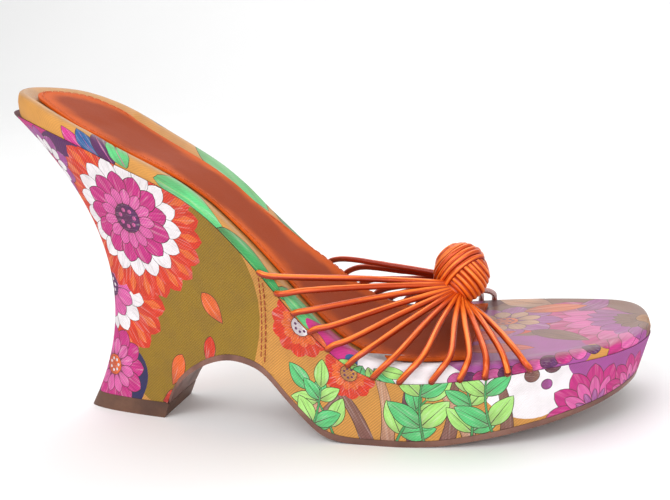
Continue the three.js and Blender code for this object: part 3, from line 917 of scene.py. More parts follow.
def front_print():
    """Print of the platform from waist seam to waist seam round the toe: small blossoms, broad
    stems, sprays of leaves and fans of petals towards the toe."""
    cloth = Print("ochre")
    toe = 235
    cloth.shape([(172, -2), (toe + 30, -2), (toe + 30, 12), (toe + 4, 8), (200, 6), (178, 4)], "olive")
    cloth.patch((183, 21), (17, 12), "white", 0, 3, 0.05)
    cloth.patch((288, 20), (22, 14), "white", 0, 4, 0.06)
    cloth.patch((toe - 4, 24), (35, 17), "mauve", 0, 5, 0.05)
    stems = [
        (106, -3, 62, 34, -34, "brown"), (112, -3, 84, 28, 40, "blush"), (129, -3, 98, 30, 44, "brown"),
        (134, -3, 74, 31, 38, "blush"), (146, -3, 112, 28, -46, "plum"), (152, -3, 60, 30, 40, "brown"),
        (163, -3, 96, 27, 34, "blush"), (172, -3, 72, 26, 36, "brown"), (295, -3, 102, 28, -34, "brown"),
        (318, -3, 80, 30, 34, "blush"), (340, -3, 100, 32, -34, "plum"), (352, -3, 70, 34, 30, "brown"),
    ]
    for x, y, angle, length, bend, dye in stems:
        line = [spot for spot, _ in curved_line((x, y), math.radians(angle), length, bend, 11)]
        cloth.stroke(line, 5.4, "ink", 0.5)
        cloth.stroke(line, 4.9, dye, 0.5)
    blooms = [
        (108, 40, 11.5, "red", "orange", "white"), (124, 25, 9.5, "red", "orange", "ochre"),
        (349, 33, 12, "red", "orange", "white"), (370, 50, 14, "magenta", "pink", "white"),
    ]
    for x, y, size, dye, inner, heart in blooms:
        cloth.blossom((x, y), [(11, size * 0.3, size, size * 0.56, dye, 1.6, 3 * x, 0),
                               (11, size * 0.25, size * 0.66, size * 0.3, inner, 1.4, 3 * x + 16, 0)],
                      size * 0.3, heart, "violet")
    sprays = [
        (118, -2, 102, 22, 26, 2, 13, "mint lime"), (107, 0, 62, 20, 20, 2, 12, "lime mint"),
        (136, -3, 66, 24, -22, 2, 14, "lime mint"), (148, -2, 100, 26, -24, 2, 15.5, "mint lime"),
        (161, -2, 70, 22, 34, 2, 13, "lime mint"), (171, -1, 108, 25, -26, 2, 14.5, "mint lime"),
        (283, -1, 76, 26, 24, 2, 14, "mint lime"), (300, -2, 102, 25, -26, 2, 13, "lime mint"),
        (314, -2, 70, 27, 24, 3, 14, "mint lime"), (333, -2, 104, 26, -26, 2, 15, "mint green lime"),
        (347, 0, 70, 24, 20, 2, 13, "lime mint"), (362, 2, 98, 30, -20, 2, 14, "mint lime"),
    ]
    for x, y, angle, length, bend, pairs, size, dyes in sprays:
        cloth.spray((x, y), math.radians(angle), length, bend, pairs, size, dyes.split(), "green")
    for x, y, r, dye in (
        (190, 27, 3, "plum"), (183, 24, 2.4, "brown"), (188, 20, 1.8, "mauve"), (134, 28, 2, "magenta"),
        (296, 24, 3, "plum"), (179, 29, 2, "brown"),
    ):
        cloth.disc((x, y), r, dye)
    for x, y, size, spread_by in ((206, 5, 19, 0), (226, 6, 17, 6), (247, 7, 16, 0), (267, 5, 17, -5)):
        for ring, dye, share in ((1.0, "magenta", 0.4), (0.76, "pink", 0.3), (0.5, "mauve", 0.24)):
            for k in range(7):
                angle = math.radians(90 + spread_by + 27 * (k - 3))
                cloth.petal((x, y), angle, size * ring, size * share * ring, dye, 1.7, 0.7)
        cloth.disc((x, y), size * 0.17, "orange")
    return cloth


def footbed_print():
    """Print of the footbed: ochre at the heel, leaves along the waist, petals over the toe. The
    middle line is at y 0, and y below it is the outer side."""
    cloth = Print("ochre")
    for hand in (-1, 1):
        def at(x, y):
            return (x, hand * y)

        def leaf(x, y, degrees, length, breadth, dye, vein, lobes=0):
            cloth.leaf(at(x, y), math.radians(hand * degrees), length, breadth, dye, vein, lobes)

        if hand < 0:
            for k, dye in enumerate(("magenta", "blue", "violet", "mint")):
                leaf(35 + 5 * k, 41 - 1.5 * k, -128 + 4 * k, 13, 7, dye, "pink", 2)
            leaf(60, 35, 3, 24, 12, "mint", "lime")
            leaf(81, 38, 0, 22, 12, "green", "lime")
            leaf(101, 36, 6, 16, 9, "mint", "lime", 3)
        else:
            leaf(27, 34, -6, 30, 13, "blue", "mint", 3)
            leaf(55, 23, -24, 34, 13, "mint", "lime")
            leaf(86, 13, 12, 26, 12, "green", "lime", 3)
    cloth.patch((119, -41), (9, 8), "magenta", 0, 5, 0.1)
    cloth.patch((128, -46), (8, 6), "blue", 0, 4, 0.12)
    cloth.disc((113, -43), 3.2, "orange")
    cloth.shape([(124, -52), (166, -56), (170, -32), (150, -28), (128, -36)], "white")
    for k in range(5):
        cloth.leaf((126 + 2 * k, -43), math.radians(-150 + 34 * k), 9, 4.5, ("lime", "mint")[k % 2])
    cloth.patch((176, -24), (24, 30), "mauve", 10, 5, 0.05)
    cloth.patch((150, 34), (32, 22), "plum", 8, 4, 0.06)
    cloth.patch((190, 20), (32, 28), "brown", 20, 5, 0.05)
    cloth.patch((176, 6), (20, 10), "red", 30, 5, 0.1)
    for k in range(12):
        dye = ("pink", "violet", "magenta")[k % 3]
        cloth.disc((159 + 4.1 * k, -47.5 + 0.24 * k * k), 3.1, dye, 0.2)
    fan = ((40, "magenta", 15), (32, "pink", 11), (23, "mauve", 8), (14, "brown", 5))
    for ring, dye, breadth in fan:
        for k in range(8):
            cloth.petal((221, 14), math.radians(150 + 17 * k), ring, breadth, dye, 1.7, 0.7)
    cloth.disc((221, 14), 6, "ochre")
    rings = [(9, 4, 20, 10, "mauve", 1.5, 0, 0.22), (9, 4, 13, 6, "blush", 1.4, 20, 0.2)]
    cloth.blossom((170, 12), rings, 4.6, "orange", "violet")
    for x, y, angle, size, dye in (
        (150, -10, 18, 26, "red"), (158, -20, -6, 24, "red"), (196, 24, 60, 20, "mauve"),
        (186, 33, 160, 22, "blush"), (160, 38, 170, 20, "pink"), (138, 36, 175, 16, "magenta"),
        (180, -2, -30, 22, "brown"), (176, 24, 20, 24, "orange"),
    ):
        cloth.leaf((x, y), math.radians(angle), size, size * 0.46, dye)
    return cloth


# Cloth pieces. Widths and depths of the cloth's turned edges are in millimetres.

FOLD_WIDTH = 0.4
FOLD_DEPTH = 0.12
SEAM_DEPTH = 0.16


def wall_shares():
    """Shares of the length of the wall's upright lines: from the rear to the waist seam, and
    from there to the toe. They stand closer together where the wall turns."""
    heel = [BREAST_AT * (1 - math.cos(math.pi / 2 * t)) for t in spread(30, 1)]
    arch = [lerp(BREAST_AT, WAIST_AT, t) for t in spread(44, 1.25)[1:]]
    front = [lerp(1, WAIST_AT, t) for t in reversed(spread(72, 1.6))]
    return heel + arch, front


def make_wedge_cover():
    """Three panels: the heel's outer and inner side, which meet at the rear, and the platform.
    The waist seams join them."""
    rear, front = wall_shares()
    outer = WallPanel([(at, OUTER) for at in rear], len(rear) - 1, 1)
    inner = WallPanel([(at, INNER) for at in reversed(rear)], 0, -1)
    round_toe = [(at, OUTER) for at in front] + [(at, INNER) for at in reversed(front[:-1])]
    toe = WallPanel(round_toe, 0, 1)
    sheets = []
    for panel, cloth in ((outer, heel_print(1)), (inner, heel_print(-1)), (toe, front_print())):
        sides = panel.sides()
        if panel is toe:
            foot, right, top, left = sides
            half = len(front) - 1
            sides = [foot[:half + 1], foot[half:], right, top[:half + 1], top[half:], left]
        fold = panel.fold(FOLD_WIDTH, FOLD_DEPTH, (SEAM_DEPTH, SEAM_DEPTH))
        sheets.append(Sheet(sides, panel.inner(FOLD_WIDTH), cloth, panel.lay, fold))
    seams = [
        ([(0, 3, False)], [(1, 1, True)]),
        ([(0, 1, False)], [(2, 5, True)]),
        ([(1, 3, False)], [(2, 2, True)]),
        ([(0, 2, True), (2, 4, True)], [(1, 2, False), (2, 3, False)]),
        ([(0, 0, False), (2, 0, False)], [(1, 0, True), (2, 1, True)]),
    ]
    return cloth_piece("wedge_cover", sheets, seams, "plum")


def make_footbed_wrap():
    """One sheet, closed underneath from side to side, where the wedge hides it."""
    form = FootbedForm()
    sheet = Sheet(form.sides(), form.inner(), footbed_print(), form.lay, lambda x, y: (0, 0, 0))
    return cloth_piece("footbed_wrap", [sheet], [([(0, 0, False)], [(0, 1, True)])], "ochre")


# Leather pieces.

def deselect_all():
    bpy.ops.object.select_all(action="DESELECT")


def formed_plate(name, steps, place, bevel):
    """Plate made as a flat grid, thickened, laid on its form by place(along, across, up), each
    from 0 to 1, and rounded at its edges."""
    deselect_all()
    bpy.ops.mesh.primitive_grid_add(x_subdivisions=steps[0], y_subdivisions=steps[1], size=1)
    piece = bpy.context.object
    piece.name = piece.data.name = name
    thickness = piece.modifiers.new("thickness", "SOLIDIFY")
    thickness.thickness, thickness.offset = 1, 0
    bpy.ops.object.modifier_apply(modifier=thickness.name)
    for vertex in piece.data.vertices:
        vertex.co = place(*(clamp(c + 0.5, 0, 1) for c in vertex.co))
    bpy.ops.object.mode_set(mode="EDIT")
    bpy.ops.mesh.select_all(action="SELECT")
    bpy.ops.mesh.remove_doubles(threshold=0.02 * MM)
    bpy.ops.mesh.normals_make_consistent(inside=False)
    bpy.ops.object.mode_set(mode="OBJECT")
    rounding = piece.modifiers.new("rounding", "BEVEL")
    rounding.width, rounding.segments = bevel, 3
    rounding.limit_method, rounding.angle_limit = "ANGLE", math.radians(50)
    bpy.ops.object.modifier_apply(modifier=rounding.name)
    bpy.ops.object.shade_smooth_by_angle(angle=math.radians(50))
    return piece


SOCK_INSET = RIM_WIDTH + 2 * CLEARANCE


def sock_point(at, side, inset, up):
    gap = CLEARANCE / footbed_normal(clamp(at, 0.01, 0.99)).z
    return rim_point(at, side, inset, footbed_bed(at) + 1.5 * gap + up * SOCK)


def make_sock_lining():
    def place(along, across, up):
        at = SOCK_END_AT * (1 - math.cos(math.pi / 2 * along))
        outer, inner = (sock_point(at, side, SOCK_INSET, up) for side in (OUTER, INNER))
        return outer.lerp(inner, across)

    piece = formed_plate("sock_lining_leather", (110, 26), place, 0.25 * MM)
    outline = [sock_point(SOCK_END_AT * k / 400, side, SOCK_INSET, 1)
               for k in range(401) for side in (OUTER, INNER)]
    tree = KDTree(len(outline))
    for k, point in enumerate(outline):
        tree.insert(point, k)
    tree.balance()
    edge = piece.data.attributes.new("edge", "FLOAT", "POINT")
    for vertex in piece.data.vertices:
        edge.data[vertex.index].value = tree.find(vertex.co)[2] / MM
    return piece


def breast_share(height):
    """Share of the length, on the heel's breast, where the lower edge reaches a height."""
    low, high = BREAST_AT, ARCH_TOP_AT
    for _ in range(30):
        middle = (low + high) / 2
        if lower_height(middle) < height:
            low = middle
        else:
            high = middle
    return low


def make_outsole():
    start = breast_share(TOP_PIECE + CLEARANCE)

    def place(along, across, up):
        at = lerp(1, start, (1 - along) ** 1.6)
        height = lower_height(at) + up * OUTSOLE
        return wall_point(at, OUTER, height).lerp(wall_point(at, INNER, height), across)

    return formed_plate("outsole_leather", (150, 12), place, 0.35 * MM)


def make_top_piece():
    reach = breast_share(TOP_PIECE) / BREAST_AT

    def place(along, across, up):
        at = BREAST_AT * (1 - math.cos(math.pi / 2 * along)) * lerp(1, reach, up)
        height = up * TOP_PIECE
        return wall_point(at, OUTER, height).lerp(wall_point(at, INNER, height), across)

    return formed_plate("heel_top_piece_rubber", (40, 12), place, 0.45 * MM)


# Cords. Each row of CORDS holds shares of the length: where the cord leaves the seam on the
# outer and on the inner side, how far on it has run at the rim, its lift over the rim as a
# share of the footbed's edge and its bow as a share of the knot's height.
CORDS = (
    (0.427, 0.475, 0.03, 0.007, 0.1, 0.02),
    (0.453, 0.498, 0.026, 0.007, 0.27, 0.02),
    (0.478, 0.521, 0.024, 0.007, 0.13, 0.02),
    (0.503, 0.544, 0.024, 0.008, 0.07, 0.02),
    (0.529, 0.567, 0.026, 0.008, 0.05, 0.02),
    (0.56, 0.589, 0.028, 0.009, 0.13, 0.02),
    (0.599, 0.611, 0.031, 0.009, 0.06, 0.03),
    (0.639, 0.632, 0.031, 0.009, 0.03, 0.04),
    (0.686, 0.653, 0.025, 0.008, 0.02, 0.05),
    (0.727, 0.675, 0.013, 0.006, 0.02, 0.06),
    (0.762, 0.697, 0.003, 0.004, 0.02, 0.07),
    (0.793, 0.721, -0.004, 0.002, 0.02, 0.07),
    (0.823, 0.745, -0.012, 0, 0.02, 0.07),
)
# Where the first and the last cord enter the knot, from its middle, as shares of its size.
REAR_MOUTH = (-0.2, -0.3, -0.08)
FRONT_MOUTH = (0.05, -0.28, -0.38)
TUBE_SIDES = 12
UNEVEN = 0.05

# Bundles of the knot: strands side by side. pole: direction round which they run. first: how
# many degrees the first strand lies from there. lift: height over the knot's form, in cord
# diameters. hand: -1 on the side of the little toe.
BUNDLES = (
    dict(strands=7, pole=(-0.62, 0.42, 0.66), first=97, lift=0, hand=-1),
    dict(strands=10, pole=(0.62, 0.42, 0.66), first=146, lift=-0.42, hand=-1),
    dict(strands=7, pole=(-0.62, -0.42, 0.66), first=97, lift=-0.1, hand=1),
    dict(strands=10, pole=(0.62, -0.42, 0.66), first=146, lift=-0.52, hand=1),
)
# How far each strand runs to both sides, and where it begins to sink, in degrees.
STRAND_TURN = 104
STRAND_SINKS = 70
STRAND_PACKING = 0.93


def smooth_way(points, spacing):
    """Evenly spaced places along a smooth curve through the points."""
    ends = [2 * points[0] - points[1], *points, 2 * points[-1] - points[-2]]
    line = []
    for a, b, c, d in zip(ends, ends[1:], ends[2:], ends[3:]):
        one, two, three = ((q - p).length ** 0.5 for p, q in ((a, b), (b, c), (c, d)))
        start = ((b - a) / one - (c - a) / (one + two) + (c - b) / two) * two
        end = ((c - b) / two - (d - b) / (two + three) + (d - c) / three) * two
        for k in range(20):
            t = k / 20
            bulge = t * (1 - t) * ((1 - t) * (start - (c - b)) - t * (end - (c - b)))
            line.append(b.lerp(c, t) + bulge)
    line.append(points[-1])
    lengths = [0]
    for a, b in zip(line, line[1:]):
        lengths.append(lengths[-1] + (b - a).length)
    count = max(3, round(lengths[-1] / spacing))
    way = []
    for k in range(count + 1):
        length = lengths[-1] * k / count
        i = clamp(bisect_right(lengths, length) - 1, 0, len(line) - 2)
        way.append(line[i].lerp(line[i + 1], (length - lengths[i]) / (lengths[i + 1] - lengths[i])))
    return way


class Tubes:
    """Round cords joined in one mesh. In their UV map u runs along the cord, in units of 10 mm,
    and v once round it."""

    def __init__(self):
        self.points, self.faces, self.places = [], [], []

    def add(self, way, radius, sides, crown, uneven=0.0, seed=0.0):
        """radius(share of the way) is the cord's, and crown(place) the direction of the side
        where v is 0. uneven: how much the radius varies."""
        start = len(self.points)
        last = len(way) - 1
        tangents = [(way[min(k + 1, last)] - way[max(k - 1, 0)]).normalized() for k in range(last + 1)]
        length, along = 0, []
        for k, (point, tangent) in enumerate(zip(way, tangents)):
            across = crown(point)
            across = (across - tangent * across.dot(tangent)).normalized()
            other = tangent.cross(across)
            length += (point - way[max(k - 1, 0)]).length
            along.append(length / (10 * MM))
            size = radius(k / (len(way) - 1))
            for n in range(sides):
                turn = 2 * math.pi * n / sides
                spot = Vector((3 * along[-1], seed, 0.6 * math.cos(turn)))
                r = size * (1 + uneven * noise.noise(spot))
                self.points.append(point + across * (r * math.cos(turn)) + other * (r * math.sin(turn)))
        for k in range(len(way) - 1):
            for n in range(sides):
                m = (n + 1) % sides
                low, high = start + k * sides, start + (k + 1) * sides
                self.faces.append((low + n, low + m, high + m, high + n))
                u, v, w, x = along[k] + seed, along[k + 1] + seed, n / sides, (n + 1) / sides
                self.places.append(((u, w), (u, x), (v, x), (v, w)))
        for k, direction in ((0, -1), (len(way) - 1, 1)):
            tip = len(self.points)
            self.points.append(way[k] + tangents[k] * direction * radius(k / (len(way) - 1)) * 0.45)
            for n in range(sides):
                a, b = start + k * sides + n, start + k * sides + (n + 1) % sides
                self.faces.append((a, b, tip) if direction > 0 else (b, a, tip))
                self.places.append(((along[k] + seed, 0.5),) * 3)

    def piece(self, name):
        mesh = bpy.data.meshes.new(name)
        mesh.from_pydata([tuple(p) for p in self.points], [], self.faces)
        uv = mesh.uv_layers.new(name="cord")
        for cell, places in zip(mesh.polygons, self.places):
            for corner, place in zip(cell.loop_indices, places):
                uv.data[corner].uv = place
        mesh.shade_smooth()
        piece = bpy.data.objects.new(name, mesh)
        bpy.context.collection.objects.link(piece)
        return piece


def knot_centre():
    return Vector((KNOT_AT * LENGTH, 0, footbed_top(KNOT_AT) + KNOT_DROP + KNOT_SIZE.z / 2))


def cord_points(index, side, diameter):
    """The cord comes out of the seam, stands up along the footbed's edge, turns over the rim
    and runs to the knot. share, level: along the shoe, and from the seam up to the footbed's
    top. out, height: away from the rim, and square to the footbed."""
    outer, inner, outer_lead, inner_lead, lift, bow = CORDS[index]
    at, lead = (outer, outer_lead) if side == OUTER else (inner, inner_lead)
    gap = diameter / 2 + CLEARANCE

    def beside(share, out, level, height):
        rise = footbed_normal(share) * height
        z = lerp(seam_height(share), footbed_top(share), level) + rise.z
        return rim_point(share + rise.x / LENGTH, side, -out, z)

    hidden = beside(at, -0.9 * MM, 0, 0.1 * MM)
    start = beside(at + 0.1 * lead, 1.6 * MM, 0, 1.5 * MM)
    edge = beside(at + 0.65 * lead, gap + 0.7 * MM, 0.9, 0)
    crest = beside(at + 1.1 * lead, -1 * MM, 1, gap + 0.6 * MM + lift * EDGE)
    share = index / (len(CORDS) - 1)
    x, y, z = (lerp(a, b, share) for a, b in zip(REAR_MOUTH, FRONT_MOUTH))
    mouth = knot_centre() + Vector((x * KNOT_SIZE.x, -side * y * KNOT_SIZE.y, z * KNOT_SIZE.z))
    middle = crest.lerp(mouth, 0.5)
    middle.z += bow * KNOT_SIZE.z
    return [hidden, start, edge, crest, middle, mouth]


def make_cords(side, name, diameter):
    tubes = Tubes()

    def radius(share):
        return diameter / 2 * lerp(0.62, 1, min(share / 0.045, 1))

    # The crown, where the cord's look paints its highlight, faces up and outwards.
    def crown(_):
        return Vector((0, 0.6 * side, 1))

    for index in range(len(CORDS)):
        way = smooth_way(cord_points(index, side, diameter), 0.75 * MM)
        tubes.add(way, radius, TUBE_SIDES, crown, UNEVEN, 7.3 * index + side)
    return tubes.piece(name)


def strand_way(bundle, index, diameter):
    """Way of a strand over its side of the knot. Its ends sink in under the other bundles."""
    pole = Vector(bundle["pole"]).normalized()
    front = Vector((0, bundle["hand"], 0))
    front = (front - pole * front.dot(pole)).normalized()
    across = pole.cross(front)
    pitch = STRAND_PACKING * diameter / (KNOT_SIZE.z / 2 - diameter / 2)
    away = math.radians(bundle["first"]) - index * pitch
    uneven = 0.08 * math.sin(2.3 * index + 9 * bundle["lift"])
    way = []
    for n in range(49):
        angle = math.radians(STRAND_TURN * (n / 24 - 1))
        level = front * math.cos(angle) + across * math.sin(angle)
        point = pole * math.cos(away) + level * math.sin(away)
        past = (abs(math.degrees(angle)) - STRAND_SINKS) / (STRAND_TURN - STRAND_SINKS)
        sunk = 0.9 * clamp(past, 0, 1) ** 2
        depth = (0.5 - bundle["lift"] - uneven + sunk) * diameter
        way.append(point * (KNOT_SIZE / 2 - Vector((depth, depth, depth))) + knot_centre())
    return way


def make_knot(diameter):
    tubes = Tubes()
    for number, bundle in enumerate(BUNDLES):
        for index in range(bundle["strands"]):
            way = strand_way(bundle, index, diameter)
            # Each strand's crown, where its look paints the highlight, faces out from the knot's middle.
            tubes.add(way, lambda share: 0.475 * diameter, TUBE_SIDES,
                      lambda place: place - knot_centre(), UNEVEN, 3.1 * index + 11 * number)
    strands = tubes.piece("knot")
    deselect_all()
    bpy.ops.mesh.primitive_uv_sphere_add(segments=32, ring_count=20, radius=1)
    core = bpy.context.object
    radii = KNOT_SIZE / 2 - Vector((1, 1, 1)) * 0.75 * diameter
    core.data.transform(Matrix.Translation(knot_centre()) @ Matrix.Diagonal((*radii, 1)))
    core.data.uv_layers[0].name = "cord"
    bpy.ops.object.shade_smooth()
    strands.select_set(True)
    bpy.context.view_layer.objects.active = strands
    bpy.ops.object.join()
    return strands


# Stitches.

def stitch_rows(name, rows, length, radius):
    """Stitches along rows of places and directions out of the surface."""
    tubes = Tubes()
    for row in rows:
        for (start, out), (end, _) in zip(row[::2], row[1::2]):
            middle = start.lerp(end, 0.5)
            half = (end - start).normalized() * length / 2
            line = [middle - half - out * radius, middle - half * 0.76 + out * radius * 0.9,
                    middle + out * radius * 1.1, middle + half * 0.76 + out * radius * 0.9,
                    middle + half - out * radius]
            tubes.add(line, lambda share: radius, 6, lambda place: out)
    return tubes.piece(name)


def wall_normal(at, side, z):
    step = 0.0015
    along = wall_point(at + step, side, z) - wall_point(at - step, side, z)
    up = wall_point(at, side, z + 0.3 * MM) - wall_point(at, side, z - 0.3 * MM)
    return along.cross(up).normalized() * -side


def make_waist_stitches(length, gap):
    rows = []
    for side in (OUTER, INNER):
        for offset in (-0.7 * MM, 0.7 * MM):
            at = WAIST_AT + offset / LENGTH
            top, foot = upper_point(at, side).z - 0.8 * MM, wall_foot(at) + 0.8 * MM
            count = int((top - foot) / (length + gap))
            row = []
            for k in range(count):
                for share in (k, k + length / (length + gap)):
                    z = top - share * (length + gap)
                    row.append((wall_point(at, side, z), wall_normal(at, side, z)))
            rows.append(row)
    return stitch_rows("waist_stitches", rows, length, 0.16 * MM)


def make_sock_stitches(length, gap):
    rows = []
    for side in (OUTER, INNER):
        line = [sock_point(SOCK_END_AT * (0.002 + 0.99 * t), side, SOCK_INSET + 1.6 * MM, 1)
                for t in spread(260, 1.6)]
        way = smooth_way(line, (length + gap) / 2)
        rows.append([(p, Vector((0, 0, 1))) for p in way])
    return stitch_rows("sock_stitches", rows, length, 0.13 * MM)


# Materials.

class Look:
    """A material's nodes, made and joined by short calls."""

    def __init__(self, name):
        self.material = bpy.data.materials.new(name)
        self.material.use_nodes = True
        self.nodes = self.material.node_tree.nodes
        self.shader = self.nodes["Principled BSDF"]

    def feed(self, node, inputs):
        for key, value in inputs.items():
            if isinstance(value, bpy.types.NodeSocket):
                self.material.node_tree.links.new(value, node.inputs[key])
            else:
                node.inputs[key].default_value = value

    def add(self, kind, inputs=None, **settings):
        node = self.nodes.new("ShaderNode" + kind)
        for key, value in settings.items():
            setattr(node, key, value)
        self.feed(node, inputs or {})
        return node

    def maths(self, operation, *values):
        return self.add("Math", dict(enumerate(values)), operation=operation).outputs[0]

    def times(self, one, two):
        return self.maths("MULTIPLY", one, two)

    def plus(self, one, two):
        return self.maths("ADD", one, two)

    def ramp(self, value, low, high, to_low=0.0, to_high=1.0):
        inputs = {0: value, 1: low, 2: high, 3: to_low, 4: to_high}
        return self.add("MapRange", inputs, interpolation_type="SMOOTHSTEP").outputs[0]

    def mix(self, share, one, two):
        return self.add("Mix", {0: share, 6: one, 7: two}, data_type="RGBA").outputs[2]

    def scaled(self, vector, scale):
        return self.add("VectorMath", {0: vector, 1: scale}, operation="MULTIPLY").outputs[0]

    def noise(self, vector, scale, detail=2.0, roughness=0.5):
        inputs = {"Vector": vector, "Scale": scale, "Detail": detail, "Roughness": roughness}
        return self.add("TexNoise", inputs).outputs["Fac"]

    def bump(self, height, distance):
        return self.add("Bump", {"Height": height, "Distance": distance, "Strength": 1.0}).outputs[0]

    def place(self):
        return self.add("TexCoord").outputs["Object"]

    def finish(self, **inputs):
        self.feed(self.shader, {key.replace("_", " "): value for key, value in inputs.items()})
        return self.material


def rgba(colour):
    return (*tuple(colour)[:3], 1.0)


def cloth_look(name, filmed):
    """Printed twill. filmed: under a clear film where it faces up, and greyed there by a painted
    reflection of the sky.
    """
    look = Look(name)
    dye = look.add("Attribute", attribute_name="dye").outputs["Color"]
    petal = look.add("Attribute", attribute_name="petal").outputs["Vector"]
    flat = look.add("UVMap", uv_map="cloth").outputs["UV"]
    along, across, seed = look.add("SeparateXYZ", {0: petal}).outputs
    drawn = {0: look.times(along, 1.6), 1: look.times(across, 9.0), 2: look.times(seed, 7.0)}
    drawn = look.add("CombineXYZ", drawn).outputs[0]
    streaks = look.noise(drawn, 1.0, 1.5)
    depth = look.times(look.ramp(along, 0.5, 0.0), look.maths("GREATER_THAN", seed, 0.001))
    pale = look.times(look.ramp(streaks, 0.5, 0.8), 0.3)
    colour = look.mix(pale, dye, rgba(tone("#f0e2e0")))
    colour = look.mix(look.times(look.ramp(streaks, 0.46, 0.3), 0.38), colour,
                      look.mix(0.55, dye, rgba((0.05, 0.01, 0.02))))
    colour = look.mix(look.times(depth, 0.35), colour, rgba((0.12, 0.02, 0.05)))
    mottle = look.noise(flat, 14.0, 3.0)
    colour = look.mix(look.ramp(mottle, 0.35, 0.7, 0.0, 0.14), colour, rgba((0.1, 0.06, 0.04)))
    x, y, _ = look.add("SeparateXYZ", {0: flat}).outputs
    pitch = bpy.context.scene.mule_sizes.twill_pitch / MM / 100
    ridges = look.maths("SUBTRACT", look.times(x, 0.62), look.times(y, 0.78))
    phase = look.times(ridges, 2 * math.pi / pitch)
    wander = look.times(look.noise(flat, 30.0), 1.2)
    twill = look.maths("SINE", look.plus(phase, wander))
    yarn = look.noise(look.scaled(flat, (1.0, 0.35, 1.0)), 420.0, 1.0)
    height = look.plus(look.times(twill, 0.5), yarn)
    grey = look.add("RGBToBW", {0: dye}).outputs[0]
    strength = 0.14 if filmed else 0.32
    shade = look.times(look.ramp(height, -0.2, 1.2, strength, 0.0),
                       look.ramp(grey, 0.7, 0.3, 0.12, 1.0))
    colour = look.mix(shade, colour, rgba((0.05, 0.03, 0.02)))
    roughness = 0.72
    relief = 0.05 * MM
    if filmed:
        facing = look.add("SeparateXYZ", {0: look.add("NewGeometry").outputs["Normal"]}).outputs[2]
        # The mask is 1 where the cloth faces up: there it has the real clear coat and also the painted
        # reflection.
        film_and_painted_reflection = look.ramp(facing, 0.3, 0.86)
        # Painted reflection of the sky on the film: where the cloth faces up its colour is greyed,
        # unevenly, towards a grey-brown.
        painted_reflection = look.ramp(look.noise(flat, 5.0, 2.0), 0.3, 0.75, 0.18, 0.4)
        colour = look.mix(look.times(film_and_painted_reflection, painted_reflection), colour, rgba(tone("#85705f")))
        look.finish(Coat_Weight=look.times(film_and_painted_reflection, 0.35), Coat_Roughness=0.25)
        roughness = look.ramp(film_and_painted_reflection, 0.0, 1.0, 0.7, 0.5)
        relief = 0.03 * MM
    normal = look.bump(height, relief)
    return look.finish(Base_Color=colour, Roughness=roughness, Normal=normal, Specular_IOR_Level=0.3)


def cord_look():
    """Foiled leather cord with fine wrinkles, with a painted highlight along its crown and painted shade
    on its flanks and in its wrinkles.
    """
    look = Look("cord_leather")
    leathers = bpy.context.scene.mule_leathers
    place = look.add("UVMap", uv_map="cord").outputs["UV"]
    u, v, _ = look.add("SeparateXYZ", {0: place}).outputs
    turn = look.times(v, 2 * math.pi)
    circle = {0: u, 1: look.maths("COSINE", turn), 2: look.maths("SINE", turn)}
    round_place = look.add("CombineXYZ", circle).outputs[0]
    streaks = look.noise(look.scaled(round_place, (0.45, 1.6, 1.6)), 1.0, 3.0)
    wrinkles = look.noise(look.scaled(round_place, (9.0, 1.1, 1.1)), 1.0, 3.0, 0.6)
    # crown is high on the side of the cord that faces up or outwards: the colour takes a painted
    # highlight there and painted shade towards the flanks.
    crown = look.plus(look.maths("COSINE", turn), look.ramp(streaks, 0.3, 0.7, -0.25, 0.25))
    colour = look.mix(look.ramp(crown, 0.05, 0.95), rgba(leathers.cord_painted_shade), rgba(leathers.cord))
    colour = look.mix(look.ramp(crown, 0.75, 1.15, 0.0, 0.85), colour, rgba(leathers.cord_painted_highlight))
    # Painted shade in the hollows of the wrinkles.
    colour = look.mix(look.ramp(wrinkles, 0.45, 0.25, 0.0, 0.3), colour, rgba(leathers.cord_painted_shade))
    roughness = look.ramp(streaks, 0.3, 0.8, 0.24, 0.38)
    normal = look.bump(wrinkles, 0.08 * MM)
    return look.finish(Base_Color=colour, Metallic=0.25, Roughness=roughness, Normal=normal,
                       Coat_Weight=0.08, Coat_Roughness=0.2)


def sock_look():
    """Smooth leather, darker in the middle and brighter towards its cut edge."""
    look = Look("sock_leather")
    leathers = bpy.context.scene.mule_leathers
    place = look.place()
    edge = look.add("Attribute", attribute_name="edge").outputs["Fac"]
    clouds = look.noise(place, 45.0, 3.0)
    reach = look.plus(edge, look.ramp(clouds, 0.3, 0.7, -3.0, 3.0))
    colour = look.mix(look.ramp(reach, 9.0, 0.0), rgba(leathers.sock), rgba(leathers.sock_edge))
    pores = look.add("TexVoronoi", {"Vector": place, "Scale": 1400.0}).outputs["Distance"]
    colour = look.mix(look.ramp(pores, 0.6, 0.1, 0.0, 0.12), colour, rgba((0.08, 0.02, 0.01)))
    height = look.plus(look.times(pores, 0.6), look.noise(place, 160.0, 3.0))
    roughness = look.ramp(clouds, 0.3, 0.8, 0.6, 0.72)
    return look.finish(Base_Color=colour, Roughness=roughness, Normal=look.bump(height, 0.06 * MM),
                       Specular_IOR_Level=0.12)


def grained_look(name, colour, dark, roughness, grain, layers=0.0):
    """Leather or rubber of one colour. layers: streaks along the height, as in stacked leather."""
    look = Look(name)
    place = look.place()
    clouds = look.noise(place, 70.0, 4.0)
    shade = look.mix(look.ramp(clouds, 0.35, 0.75), rgba(colour), rgba(dark))
    fine = look.noise(look.scaled(place, (1.0, 1.0, 1.0 + layers)), grain, 3.0, 0.6)
    shade = look.mix(look.ramp(fine, 0.6, 0.3, 0.0, 0.3), shade, rgba(dark))
    roughness = look.ramp(clouds, 0.2, 0.8, roughness - 0.06, roughness + 0.08)
    return look.finish(Base_Color=shade, Roughness=roughness, Normal=look.bump(fine, 0.08 * MM))


